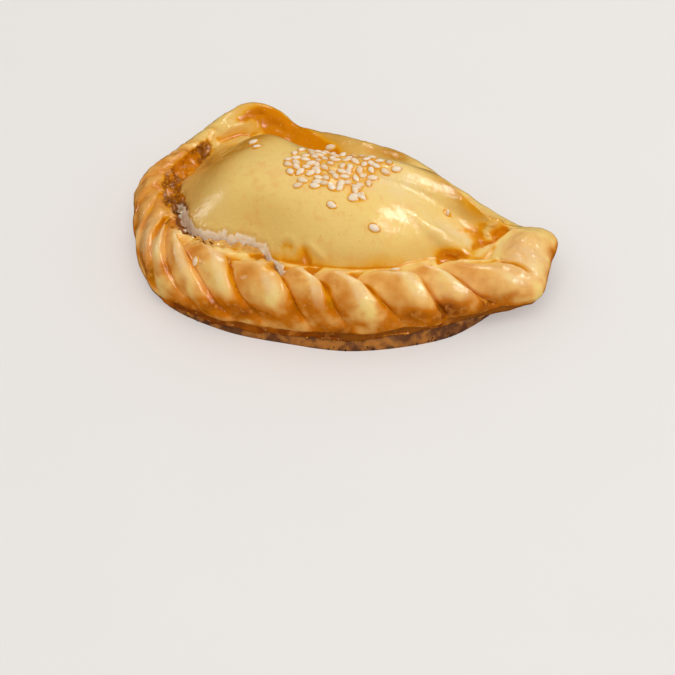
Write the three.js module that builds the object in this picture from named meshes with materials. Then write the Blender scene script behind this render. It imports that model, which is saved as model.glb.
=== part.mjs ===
// A baked empanada: a half-moon turnover with a roped rim, lying flat on its base.
// One piece of pastry, one closed solid. Millimetres, +Z up, the roped rim towards -Y.
//
// The skin is a grid. One way runs round the rim: a place is counted in outline points, from 0 to 20,
// starting at the right ear and going over the fold side, the left ear and then along the rope.
// The other way runs down the section: 0 the top of the dome, 1 the valley at the dome's foot,
// 2 the crest of the rim, 3 its widest reach, 4 the seam, 5 the edge of the base.
import * as THREE from "three";

// ---- driving dimensions, mm ----
const DOME_TOP = { x: -8, y: -3, z: 29 };
const DOME_FOOT = { x: -7.5, y: -3.5, along: 47, across: 24.5, turn: 15, corner: 2.3 }; // a rounded oval
const DOME_FULLNESS = 2.2; // power of the dome's profile: higher is boxier
const FOOT_BLEND = 5; // power with which the dome's foot gives way to the valley line
const FILLING_SPINE = { left: [-33, -7], right: [17, 9] }; // the line that the rim leans in to
const SEAM_UNDERCUT = 1.8; // how far the seam is drawn in below the widest reach
const WALL = { draw: 0.8, bow: 1.5 }; // powers of the wall's run inwards and downwards below the seam
const GROOVE_LEVEL = 2.3; // section level at which the lean along the rim is nothing
const LEAN_IN = [1, 1.8]; // levels between which the lean sets in
const LEAN_OUT = [3, 5]; // and between which it dies out
const SWELLING_FADE = [2, 3]; // levels between which swellings die out

// The outline seen from above, at the rim's widest reach.
const OUTLINE = [
  [48.8, 25], [45, 32.6], [34, 32], [16, 33], [-5, 34.5], [-22, 31], [-36, 27.5], [-45, 27.5],
  [-54, 22.5], [-56.2, 7], [-57.7, -8], [-55.9, -20.6], [-43.8, -34.5], [-27.5, -44.3], [-8, -42.3],
  [9, -34.8], [23, -26.5], [37, -12.5], [44.5, -1.6], [53.4, 12],
];
const PLACES = OUTLINE.length;

// Sizes round the rim as [place, size], with a smooth run from each to the next.
const RIM_WIDTH = [
  [0, 15.5], [1, 17], [2.5, 13], [7, 13.5], [8.2, 12.5], [9.5, 9.6], [11, 11.9], [12.5, 15.8],
  [14, 15.8], [15, 14], [17, 15.7], [19, 16],
];
const CREST_HEIGHT = [
  [0, 14.4], [1, 13.5], [1.9, 10.9], [2.6, 11.9], [3.3, 14.3], [4, 14.9], [6, 13.4], [7.4, 15.2],
  [8.6, 15.8], [10, 14.5], [13, 17], [15.5, 18], [19, 15],
];
const VALLEY_HEIGHT = [
  [0, 12.5], [0.9, 13.6], [1.5, 16.2], [2.3, 19.8], [3, 21.8], [3.6, 19], [4.2, 14], [5.2, 12],
  [8.6, 13], [10, 11], [13, 14.5], [16, 16], [19, 13],
];
const REACH_HEIGHT = [[0, 10], [3, 7], [7, 10], [10, 7.5], [16, 9.5], [18.9, 8.8]];
const SEAM_HEIGHT = [
  [0, 7.5], [3, 3.5], [7, 4.5], [10, 3], [12, 1.9], [14, 2.6], [16, 3.4], [17.5, 5.2], [19, 6.3],
];
const BASE_INSET = [
  [0, 14], [1, 15], [2, 9], [4, 5], [7, 8], [9.5, 3], [12, 3.3], [14, 1.5], [16, 0.2], [17, 0.9],
  [18, 3.2], [19, 11],
];
// Where the crest stands between outline and valley, as a share of the rim's width.
const CREST_SHARE = [[0, 0.5], [2.6, 0.5], [4, 0.38], [7.4, 0.3], [8.6, 0.42], [9.6, 0.5], [19, 0.5]];
// Power of the rise from valley to crest: 2 is a hollow foot, 1 a plain shoulder.
const CREST_EASE = [
  [0, 1.9], [0.6, 1.7], [1.4, 1.1], [2.2, 0.9], [3.2, 0.9], [4.1, 1.9], [5, 2], [15, 2],
];
// How far columns lean along the rim, in places for each section level.
const GROOVE_LEAN = [
  [0, 0.3], [4, 0], [8, 0.3], [10, 0.35], [11, 0.5], [12.8, 0.8], [14, 0.65], [15.5, 0.45],
  [17, 0.35], [18, 0.5],
];

// The rope: strands between grooves. Each groove is a run of [level, column] stops from its start down.
const GROOVES = [
  [[2, 8.92]], [[2, 9.42]], [[2, 9.82]], [[2, 10.4]], [[2, 10.95]], [[2, 11.5]], [[2, 12]],
  [[1.73, 12.92], [2.12, 12.7], [2.35, 12.55], [2.8, 12.48], [3.15, 12.32]],
  [[1.73, 13.25], [2.2, 13], [2.8, 12.93]],
  [[2, 13.58], [2.6, 13.53], [3.3, 13.46]],
  [[1.73, 14.31], [2.12, 14.18], [2.31, 14.11], [2.65, 14.05]],
  [[1.36, 14.95], [2.38, 14.9], [2.88, 14.83]],
  [[1.14, 15.21], [1.7, 15.42], [2.12, 15.55], [2.65, 15.52]],
  [[1.27, 15.93], [1.8, 16.1], [2.15, 16.19], [2.42, 16.24], [2.69, 16.3]],
  [[1.27, 16.42], [1.64, 16.75], [1.82, 16.91], [2.12, 16.97], [3, 17.02]],
  [[1.3, 17.25], [1.59, 17.5], [1.82, 17.7], [2.12, 17.83], [3, 17.85]],
  [[1.3, 19.35], [1.5, 19.28], [1.95, 19.2], [2.31, 19.1]],
];
// Height of a strand over the grooves beside it, by place.
const STRAND_RELIEF = [
  [0, 0.2], [8, 0.2], [9.5, 0.25], [11.5, 0.3], [12.4, 1.3], [14, 2.2], [17, 2.3], [18, 1.6], [19, 0.6],
];
const STRAND_LEAN = 1.65; // power that moves a strand's ridge towards the groove on its right
const STRAND_ROUNDNESS = 0.7; // power of its section: lower is boxier
const STRAND_SUNK = 0.6; // share of it that lies below the rim's plain form
const STRAND_TOP = [1, 1.6]; // levels between which strands rise out of the valley
const STRAND_WIDTH = [0.15, 0.4]; // widths, in places, between which a strand comes to its full height
const STRAND_FOOT = [2.7, 3.8]; // levels between which they run out above the seam
const ROPE_START = [8.8, 9.3]; // places between which the rope sets in at the left ear
const ROPE_END = [18.3, 19.3]; // and between which it runs out into the right ear
const STRAND_TILT = [-0.5, 1]; // how far strands turn with the rim's section, in levels from its crest

// The tear along the dome's foot: how deep it gapes, by place, and how wide it is in levels.
const TEAR_DEPTH = [
  [0, 0], [10.8, 0], [11.8, 1.6], [12.6, 2.4], [13.6, 2.2], [14.3, 1.8], [14.8, 0.4], [15.4, 0], [18, 0],
];
const TEAR = { level: 1.02, reach: 0.14 };

// Swellings and dents of the upper skin: middle, reach along and across, height, turn in degrees.
const SWELLINGS = [
  { name: "left ear", x: -47, y: 22, along: 7, across: 5, height: 0.9, turn: 20 },
  { name: "pool behind the left ear", x: -41, y: 17, along: 6, across: 4, height: -1.6, turn: -20 },
  { name: "dip above the right ear", x: 25, y: 13, along: 5, across: 3, height: -0.6, turn: 35 },
  { name: "right ear", x: 43, y: 22, along: 7, across: 5, height: 1.6, turn: 60 },
  { name: "shoulder over the fold", x: 8, y: 22, along: 12, across: 5, height: 1.6, turn: -8 },
  { name: "front of the dome", x: 0, y: -10, along: 16, across: 8, height: 1.2, turn: 20 },
  { name: "left end of the dome", x: -31, y: 5.5, along: 10, across: 6, height: 3.2, turn: 20 },
  { name: "rim under the left ear", x: -44, y: 6, along: 6, across: 5, height: 0.6, turn: 40 },
  { name: "back of the dome", x: 5, y: 15, along: 12, across: 6, height: 2.4, turn: 10 },
  { name: "brown dip by the fold", x: 26, y: 17, along: 4.5, across: 3, height: -0.5, turn: 15 },
  { name: "flank beside the dip", x: 28, y: 24.5, along: 9, across: 3.2, height: 0.9, turn: 8 },
  { name: "slope over the dip", x: 26.5, y: 19.5, along: 6, across: 3, height: 0.8, turn: 10 },
];

// ---- grid ----
const STRAND_STEPS = 8; // columns from one groove to the next
const FOLD_STEPS = 60; // columns from the rope's end over the fold side to its start
const LEVEL_ROWS = [7, 5, 7, 3, 2]; // rows in each section level, dome to base edge

// A smooth closed run through [place, size] pairs: cubic pieces whose slopes lean on both neighbours.
function around(knots) {
  const count = knots.length;
  const placeOf = (k) => knots[(k + count) % count][0] + PLACES * Math.floor(k / count);
  const sizeOf = (k) => knots[(k + count) % count][1];
  const slopeOf = (k) => (sizeOf(k + 1) - sizeOf(k - 1)) / (placeOf(k + 1) - placeOf(k - 1));
  return (unwrapped) => {
    const place = (unwrapped + PLACES) % PLACES;
    let k = -1;
    while (k + 1 < count && placeOf(k + 1) <= place) {
      k += 1;
    }
    const span = placeOf(k + 1) - placeOf(k);
    const f = (place - placeOf(k)) / span;
    const ease = f * f * (3 - 2 * f);
    const leave = f * (1 - f) * (1 - f) * slopeOf(k) * span;
    const arrive = f * f * (1 - f) * slopeOf(k + 1) * span;
    return sizeOf(k) * (1 - ease) + sizeOf(k + 1) * ease + leave - arrive;
  };
}

const rimWidth = around(RIM_WIDTH);
const crestHeight = around(CREST_HEIGHT);
const valleyHeight = around(VALLEY_HEIGHT);
const reachHeight = around(REACH_HEIGHT);
const seamHeight = around(SEAM_HEIGHT);
const baseInset = around(BASE_INSET);
const grooveLean = around(GROOVE_LEAN);
const crestShare = around(CREST_SHARE);
const crestEase = around(CREST_EASE);
const strandHeight = around(STRAND_RELIEF);
const tearDepth = around(TEAR_DEPTH);
const outlinePoints = OUTLINE.map(([x, y]) => new THREE.Vector3(x, y, 0));
const outlineCurve = new THREE.CatmullRomCurve3(outlinePoints, true, "catmullrom", 0.5);

// The point of the filling's spine that is nearest to a point.
function spinePoint(point) {
  const left = new THREE.Vector3(...FILLING_SPINE.left, 0);
  const right = new THREE.Vector3(...FILLING_SPINE.right, 0);
  return new THREE.Line3(left, right).closestPointToPoint(point, true, new THREE.Vector3());
}

// A bump that is 1 in its middle and fades smoothly to nothing.
function bell(distance) {
  return Math.exp(-distance * distance);
}

// 0 below the range's low edge, 1 above its high edge, smooth between.
function rise(value, range) {
  return THREE.MathUtils.smoothstep(value, range[0], range[1]);
}

// Height that the swellings and dents add at a point of the upper skin.
function swelling(x, y) {
  let height = 0;
  for (const spot of SWELLINGS) {
    const turn = THREE.MathUtils.degToRad(spot.turn);
    const dx = x - spot.x;
    const dy = y - spot.y;
    const along = (dx * Math.cos(turn) + dy * Math.sin(turn)) / spot.along;
    const across = (dy * Math.cos(turn) - dx * Math.sin(turn)) / spot.across;
    height += spot.height * bell(Math.hypot(along, across));
  }
  return height;
}

// How much of the dome stands at a point of the filling, from 0 at its foot to 1 at its top. It is
// one minus a power of the distance in a rounded oval; close to the valley the oval gives way to it.
function domeShare(x, y, level) {
  const turn = THREE.MathUtils.degToRad(DOME_FOOT.turn);
  const dx = x - DOME_FOOT.x;
  const dy = y - DOME_FOOT.y;
  const along = Math.abs(dx * Math.cos(turn) + dy * Math.sin(turn)) / DOME_FOOT.along;
  const across = Math.abs(dy * Math.cos(turn) - dx * Math.sin(turn)) / DOME_FOOT.across;
  const corner = DOME_FOOT.corner;
  const oval = Math.pow(Math.pow(along, corner) + Math.pow(across, corner), 1 / corner);
  const distance = THREE.MathUtils.lerp(oval, Math.max(oval, 1), Math.pow(level, FOOT_BLEND));
  return Math.max(0, 1 - Math.pow(distance, DOME_FULLNESS));
}

// A groove's column at a level, straight between its stops.
function grooveColumn(stops, level) {
  let k = 0;
  while (k + 2 < stops.length && stops[k + 1][0] < level) {
    k += 1;
  }
  if (stops.length === 1) {
    return stops[0][1];
  }
  const share = (level - stops[k][0]) / (stops[k + 1][0] - stops[k][0]);
  return THREE.MathUtils.lerp(stops[k][1], stops[k + 1][1], THREE.MathUtils.clamp(share, 0, 1));
}

// A grid column's place at a level. Columns run along with the grooves on both sides of them.
function columnPlace(column, level) {
  const next = column.groove + 1;
  const from = grooveColumn(GROOVES[column.groove], level);
  const to = next < GROOVES.length ? grooveColumn(GROOVES[next], level) : GROOVES[0][0][1] + PLACES;
  return { start: THREE.MathUtils.lerp(from, to, column.share), width: to - from };
}

// Relief of the rope: round strands with a groove between each two. It stands off the rim's core.
function strandRelief(column, start, width, level) {
  if (column.groove + 1 === GROOVES.length) {
    return 0;
  }
  const across = Math.sin(Math.PI * Math.pow(column.share, STRAND_LEAN));
  const round = Math.pow(across, STRAND_ROUNDNESS);
  const run = rise(start, ROPE_START) * (1 - rise(start, ROPE_END));
  const depth = rise(level, STRAND_TOP) * (1 - rise(level, STRAND_FOOT)) * rise(width, STRAND_WIDTH);
  return strandHeight(start) * (round - STRAND_SUNK) * run * depth;
}

// One point of the skin. Down the rim's section, a column of the grid leans along with the grooves.
function skinPoint(column, level) {
  const { start, width: span } = columnPlace(column, level);
  const leaning = rise(level, LEAN_IN) * (1 - rise(level, LEAN_OUT));
  const place = start + grooveLean(start) * (level - GROOVE_LEVEL) * leaning;
  const edge = outlineCurve.getPoint(((place + PLACES) % PLACES) / PLACES);
  const inward = spinePoint(edge).sub(edge).normalize();
  const width = rimWidth(place);
  const share = crestShare(place);
  const crest = crestHeight(place);
  const valley = valleyHeight(place);
  const reach = reachHeight(place);
  const seam = seamHeight(place);
  const inset = baseInset(place);
  const top = new THREE.Vector3(DOME_TOP.x, DOME_TOP.y, 0);
  const from = (depth) => edge.clone().addScaledVector(inward, depth);
  const quarter = Math.PI / 2;
  let point;
  if (level <= 1) {
    point = top.clone().lerp(from(width), level);
    point.z = THREE.MathUtils.lerp(valley, DOME_TOP.z, domeShare(point.x, point.y, level));
  } else if (level <= 2) {
    const f = level - 1;
    point = from(width * (1 - (1 - share) * f));
    point.z = valley + (crest - valley) * Math.pow(Math.sin(f * quarter), crestEase(place));
  } else if (level <= 3) {
    const f = level - 2;
    point = from(width * share * (1 - Math.sin(f * quarter)));
    point.z = reach + (crest - reach) * Math.cos(f * quarter);
  } else if (level <= 4) {
    const f = level - 3;
    point = from(SEAM_UNDERCUT * (1 - Math.cos(f * quarter)));
    point.z = reach - (reach - seam) * Math.sin(f * quarter);
  } else {
    const f = level - 4;
    point = from(SEAM_UNDERCUT + (inset - SEAM_UNDERCUT) * Math.pow(f, WALL.draw));
    point.z = seam * (1 - Math.pow(f, WALL.bow));
  }
  point.z += swelling(point.x, point.y) * (1 - rise(level, SWELLING_FADE));
  point.z -= Math.max(0, tearDepth(place)) * bell((level - TEAR.level) / TEAR.reach);
  // The strands stand up on the rim's crest and out on its outer wall.
  const relief = strandRelief(column, start, span, level);
  const tilt = THREE.MathUtils.clamp(level - 2, STRAND_TILT[0], STRAND_TILT[1]) * quarter;
  point.addScaledVector(inward, -relief * Math.sin(tilt));
  point.z += relief * Math.cos(tilt);
  return point;
}

// The grid's columns: each has the groove before it and its share of the way to the next groove.
function gridColumns() {
  return GROOVES.flatMap((stops, groove) => {
    const steps = groove + 1 < GROOVES.length ? STRAND_STEPS : FOLD_STEPS;
    return Array.from({ length: steps }, (unused, step) => ({ groove, share: step / steps }));
  });
}

// Section levels of the grid's rows, from the first ring under the dome's top to the base's edge.
function rowLevels() {
  const levels = [];
  LEVEL_ROWS.forEach((rows, section) => {
    for (let row = 1; row <= rows; row += 1) {
      levels.push(section + row / rows);
    }
  });
  return levels;
}

// The closed skin: rings from the dome's top down to the base's edge, closed by a fan at each end.
function pastryGeometry() {
  const grid = gridColumns();
  const levels = rowLevels();
  const columns = grid.length;
  const points = levels.flatMap((level) => grid.map((column) => skinPoint(column, level)));
  const crown = points.length;
  points.push(skinPoint(grid[0], 0));
  const floor = points.length;
  points.push(new THREE.Vector3(DOME_TOP.x, DOME_TOP.y, 0));
  const faces = [];
  for (let column = 0; column < columns; column += 1) {
    const next = (column + 1) % columns;
    faces.push(crown, column, next);
    for (let row = 0; row + 1 < levels.length; row += 1) {
      const upper = row * columns;
      const lower = upper + columns;
      faces.push(upper + column, lower + column, lower + next);
      faces.push(upper + column, lower + next, upper + next);
    }
    const last = (levels.length - 1) * columns;
    faces.push(last + column, floor, last + next);
  }
  const geometry = new THREE.BufferGeometry().setFromPoints(points);
  geometry.setIndex(faces);
  geometry.computeVertexNormals();
  return geometry;
}

// The whole, with the middle of its footprint at the origin and its base on z = 0.
function buildEmpanada() {
  const geometry = pastryGeometry();
  geometry.computeBoundingBox();
  const middle = geometry.boundingBox.getCenter(new THREE.Vector3());
  geometry.translate(-middle.x, -middle.y, 0);
  const crust = new THREE.MeshStandardMaterial({ color: 0xd9a653, roughness: 0.38, metalness: 0 });
  const pastry = new THREE.Mesh(geometry, crust);
  pastry.name = "pastry";
  const empanada = new THREE.Group();
  empanada.add(pastry);
  return empanada;
}

export default buildEmpanada();
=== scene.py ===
"""The looks of a baked, egg-glazed empanada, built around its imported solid.

The pastry is one skin, worked out on a grid. One way runs round the rim: a place is counted in outline
points from 0 to 20, from the right ear over the fold side and the left ear, and then along the rope.
The other way runs down the section, in levels: 0 the dome's top, 1 the valley at the dome's foot, 2 the
rim's crest, 3 its widest reach, 4 the seam, 5 the edge of the base, 6 the middle of the base.
The form is worked out in millimetres and put into the meshes in metres.
"""

import logging
import math
from dataclasses import dataclass, field
from enum import Enum

import bpy
import numpy as np
from mathutils import Matrix, Vector


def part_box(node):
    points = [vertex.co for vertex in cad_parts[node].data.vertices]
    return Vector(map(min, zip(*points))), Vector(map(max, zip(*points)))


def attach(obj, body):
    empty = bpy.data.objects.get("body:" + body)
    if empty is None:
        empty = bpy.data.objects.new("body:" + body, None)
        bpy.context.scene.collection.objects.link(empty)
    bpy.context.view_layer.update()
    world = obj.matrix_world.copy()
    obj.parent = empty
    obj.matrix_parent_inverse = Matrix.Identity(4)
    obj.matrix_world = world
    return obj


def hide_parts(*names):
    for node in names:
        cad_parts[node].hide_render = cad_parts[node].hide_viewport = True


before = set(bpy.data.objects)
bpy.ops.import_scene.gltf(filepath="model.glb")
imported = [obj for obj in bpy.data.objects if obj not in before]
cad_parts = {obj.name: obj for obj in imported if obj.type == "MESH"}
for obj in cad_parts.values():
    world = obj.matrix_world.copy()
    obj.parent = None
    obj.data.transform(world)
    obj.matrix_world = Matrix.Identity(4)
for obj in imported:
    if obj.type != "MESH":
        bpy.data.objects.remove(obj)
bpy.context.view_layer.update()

MM = 0.001
LOG = logging.getLogger("empanada")
PASTRY_NODE = "pastry"

# seeds of the noises on the skin
WIDE_SEED, SMALL_SEED, ROUGH_SEED, BLISTER_SEED, GRIT_SEED, SOFT_SEED, FINE_SEED, LEDGE_SEED = (
    3, 4, 8, 9, 10, 14, 15, 21)
# Bands, as the ends of a step up and of a step down in places, levels or columns: where ...
LEAN_LEVELS = (1.0, 1.8, 3.0, 5.0)  # columns lean along with the grooves
STRAND_LEVELS = (1.0, 1.6, 2.7, 3.8)  # strands stand out
STRAND_COLUMNS = (8.8, 9.3, 18.3, 19.3)  # the rope runs, from ear to ear
SEAM_HOLLOW_LEVELS = (2.4, 2.9, 3.6, 3.9)  # hollows over the seam are darkened, by hard baking and painted shade
LEDGE_PLACES = (9.0, 10.5, 20.0, 20.6)  # the seam has a ledge
ROPE_LEVELS = (0.9, 1.6, 3.9, 4.6)  # the rope is uneven
BEADED_PLACES = (8.9, 9.4, 12.2, 13.0)  # the left rim is beaded
WALL_LEVELS = (4.0, 4.3, 4.85, 5.0)  # the dry wall is uneven
TORN_SHARES = (0.0, 0.07, 0.93, 1.0)  # the tear is open, as shares of its route
BLISTERED_PLACES = (8.6, 9.3, 13.2, 14.2)  # the left rim is blistered
BLISTERED_LEVELS = (0.93, 1.04, 1.5, 2.0)  # and down its section
BARE_FOOT_LEFT = (8.2, 9.0, 13.0, 14.6)  # the foot has no line of glaze, at the left
BARE_FOOT_FOLD = (0.3, 1.0, 3.2, 3.8)  # and at the fold
DARKER_FOOT_LEVELS = (0.8, 0.98, 1.0, 1.2)  # the dome's foot is darker
LEFT_RIM_PLACES = (8.6, 9.4, 11.8, 12.8)  # the left rim is baked more
CHANNEL_PLACES = (8.7, 9.3, 11.9, 12.3)  # the scorched channel runs
CHANNEL_LEVELS = (0.95, 1.04, 1.55, 1.85)  # and down its section
PIT_PLACES = (11.7, 12.2, 13.1, 13.5)  # the pit under the tear lies
# plan positions in mm
DEEP_HOLE = (-40.6, -21.6)
BLISTERED_EAR = (46.0, 20.0)
PALE_EAR = (45.0, 20.0)
CREASE_LEAST_REACH = 1.2
FLOOR_HALF = 3.0
LAMP_DISTANCE = 2.4


# ---------------------------------------------------------------- small shared maths
def rise(value: np.ndarray, low: float, high: float) -> np.ndarray:
    """0 below the low edge and 1 above the high edge, with a smooth cubic step between."""
    share = np.clip((np.asarray(value, float) - low) / (high - low), 0.0, 1.0)
    return share * share * (3.0 - 2.0 * share)


def band(value: np.ndarray, low: float, low_end: float, high: float, high_end: float) -> np.ndarray:
    """1 between two smooth steps, one up from low to low_end and one down from high to high_end."""
    return rise(value, low, low_end) * (1.0 - rise(value, high, high_end))


def bell(distance: np.ndarray) -> np.ndarray:
    """e to the minus distance squared: 1 in the middle, fading smoothly to nothing."""
    return np.exp(-np.square(distance))


def unit(vectors: np.ndarray) -> np.ndarray:
    """Vectors divided by their own lengths, along the last axis."""
    return vectors / np.maximum(np.linalg.norm(vectors, axis=-1, keepdims=True), 1e-12)


def turned(x: np.ndarray, y: np.ndarray, degrees: float) -> tuple[np.ndarray, np.ndarray]:
    """How far plan offsets reach along and across a direction that is turned by some degrees."""
    turn = math.radians(degrees)
    return x * math.cos(turn) + y * math.sin(turn), y * math.cos(turn) - x * math.sin(turn)


def from_spot(points: np.ndarray, spot: tuple[float, float]) -> np.ndarray:
    """Distance of points from a plan position, in mm."""
    return np.hypot(points[..., 0] - spot[0], points[..., 1] - spot[1])


class Around:
    """A smooth closed run of sizes round the rim, through (place, size) pairs.

    Between two pairs it is a cubic whose slope at each pair is that of the line between its neighbours.
    """

    def __init__(self, knots: tuple[tuple[float, float], ...], places: int = 20) -> None:
        """Keeps the pairs, with one turn more on each side so that the run closes.

        Args:
            knots: (place, size) pairs in rising order of place.
            places: Number of places once round.
        """
        at, size = np.array(knots, float).T
        self.places = places
        self.at = np.concatenate([at[-2:] - places, at, at[:3] + places])
        self.size = np.concatenate([size[-2:], size, size[:3]])
        self.slope = np.gradient(self.size, 1.0)
        self.slope[1:-1] = (self.size[2:] - self.size[:-2]) / (self.at[2:] - self.at[:-2])

    def __call__(self, place: np.ndarray) -> np.ndarray:
        """Size at each place.

        Args:
            place: Places, of any value.

        Returns:
            The sizes, in an array of the same shape.
        """
        place = np.mod(place, self.places)
        left = np.searchsorted(self.at, place, side="right") - 1
        span = self.at[left + 1] - self.at[left]
        f = (place - self.at[left]) / span
        ease = f * f * (3.0 - 2.0 * f)
        leave = f * (1.0 - f) ** 2 * self.slope[left] * span
        arrive = f * f * (1.0 - f) * self.slope[left + 1] * span
        return self.size[left] * (1.0 - ease) + self.size[left + 1] * ease + leave - arrive


class Grain:
    """Seeded three-way noise between -1 and 1, smooth between the points of a lattice."""

    SIDE = 32

    def __init__(self, seed: int) -> None:
        """Draws the values at the lattice's points, which repeat every 32 cells."""
        self.table = np.random.default_rng(seed).uniform(-1.0, 1.0, (self.SIDE,) * 3)

    def __call__(self, points: np.ndarray, size: float, layers: int = 1) -> np.ndarray:
        """Noise at points: eased blends of the eight lattice values round each one.

        Args:
            points: Points in mm, with x, y, z on the last axis.
            size: Width of a lattice cell in mm.
            layers: Number of layers, each half as wide and half as strong as the one before.

        Returns:
            One value for each point, between about -1 and 1.
        """
        total = np.zeros(points.shape[:-1])
        for layer in range(layers):
            scaled = points * (2.0 ** layer / size) + 7.31 * layer
            cell = np.floor(scaled).astype(int)
            f = scaled - cell
            ease = f * f * (3.0 - 2.0 * f)
            for corner in range(8):
                step = np.array([corner & 1, corner >> 1 & 1, corner >> 2 & 1])
                index = (cell + step) % self.SIDE
                weight = np.prod(np.where(step == 1, ease, 1.0 - ease), axis=-1)
                value = self.table[index[..., 0], index[..., 1], index[..., 2]]
                total += weight * value * 0.5 ** layer
        return total


class Cells:
    """Seeded scattered points in space, for round blisters: how far away the nearest one is."""

    SIDE = 24

    def __init__(self, seed: int) -> None:
        """Draws each lattice cell's point, and one number that belongs to it."""
        draw = np.random.default_rng(seed)
        self.spot = draw.uniform(0.15, 0.85, (self.SIDE,) * 3 + (3,))
        self.number = draw.uniform(0.0, 1.0, (self.SIDE,) * 3)

    def __call__(self, points: np.ndarray, size: float) -> tuple[np.ndarray, np.ndarray]:
        """Distance to the nearest scattered point, searched in the 27 cells round each place.

        Args:
            points: Points in mm, with x, y, z on the last axis.
            size: Width of a cell in mm.

        Returns:
            The distances, in cells, and the nearest point's own number from 0 to 1.
        """
        scaled = points / size
        cell = np.floor(scaled).astype(int)
        best = np.full(points.shape[:-1], 9.0)
        number = np.zeros(points.shape[:-1])
        for step in np.ndindex(3, 3, 3):
            other = cell + np.array(step) - 1
            index = tuple(np.moveaxis(other % self.SIDE, -1, 0))
            distance = np.linalg.norm(other + self.spot[index] - scaled, axis=-1)
            closer = distance < best
            best = np.where(closer, distance, best)
            number = np.where(closer, self.number[index], number)
        return best, number


# ---------------------------------------------------------------- the pastry's form
@dataclass(frozen=True)
class Oval:
    """An oval bell in plan: a soft rise or dent of the skin, or a soft patch of colour on it."""

    x: float
    y: float
    along: float
    across: float
    turn: float
    strength: float

    def at(self, x: np.ndarray, y: np.ndarray) -> np.ndarray:
        """Strength times a bell of the distance in the turned oval, at plan positions in mm."""
        along, across = turned(x - self.x, y - self.y, self.turn)
        return self.strength * bell(np.hypot(along / self.along, across / self.across))


def ovals_at(ovals: tuple[Oval, ...], x: np.ndarray, y: np.ndarray) -> np.ndarray:
    """Sum of ovals at plan positions in mm."""
    return sum(oval.at(x, y) for oval in ovals)


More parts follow.
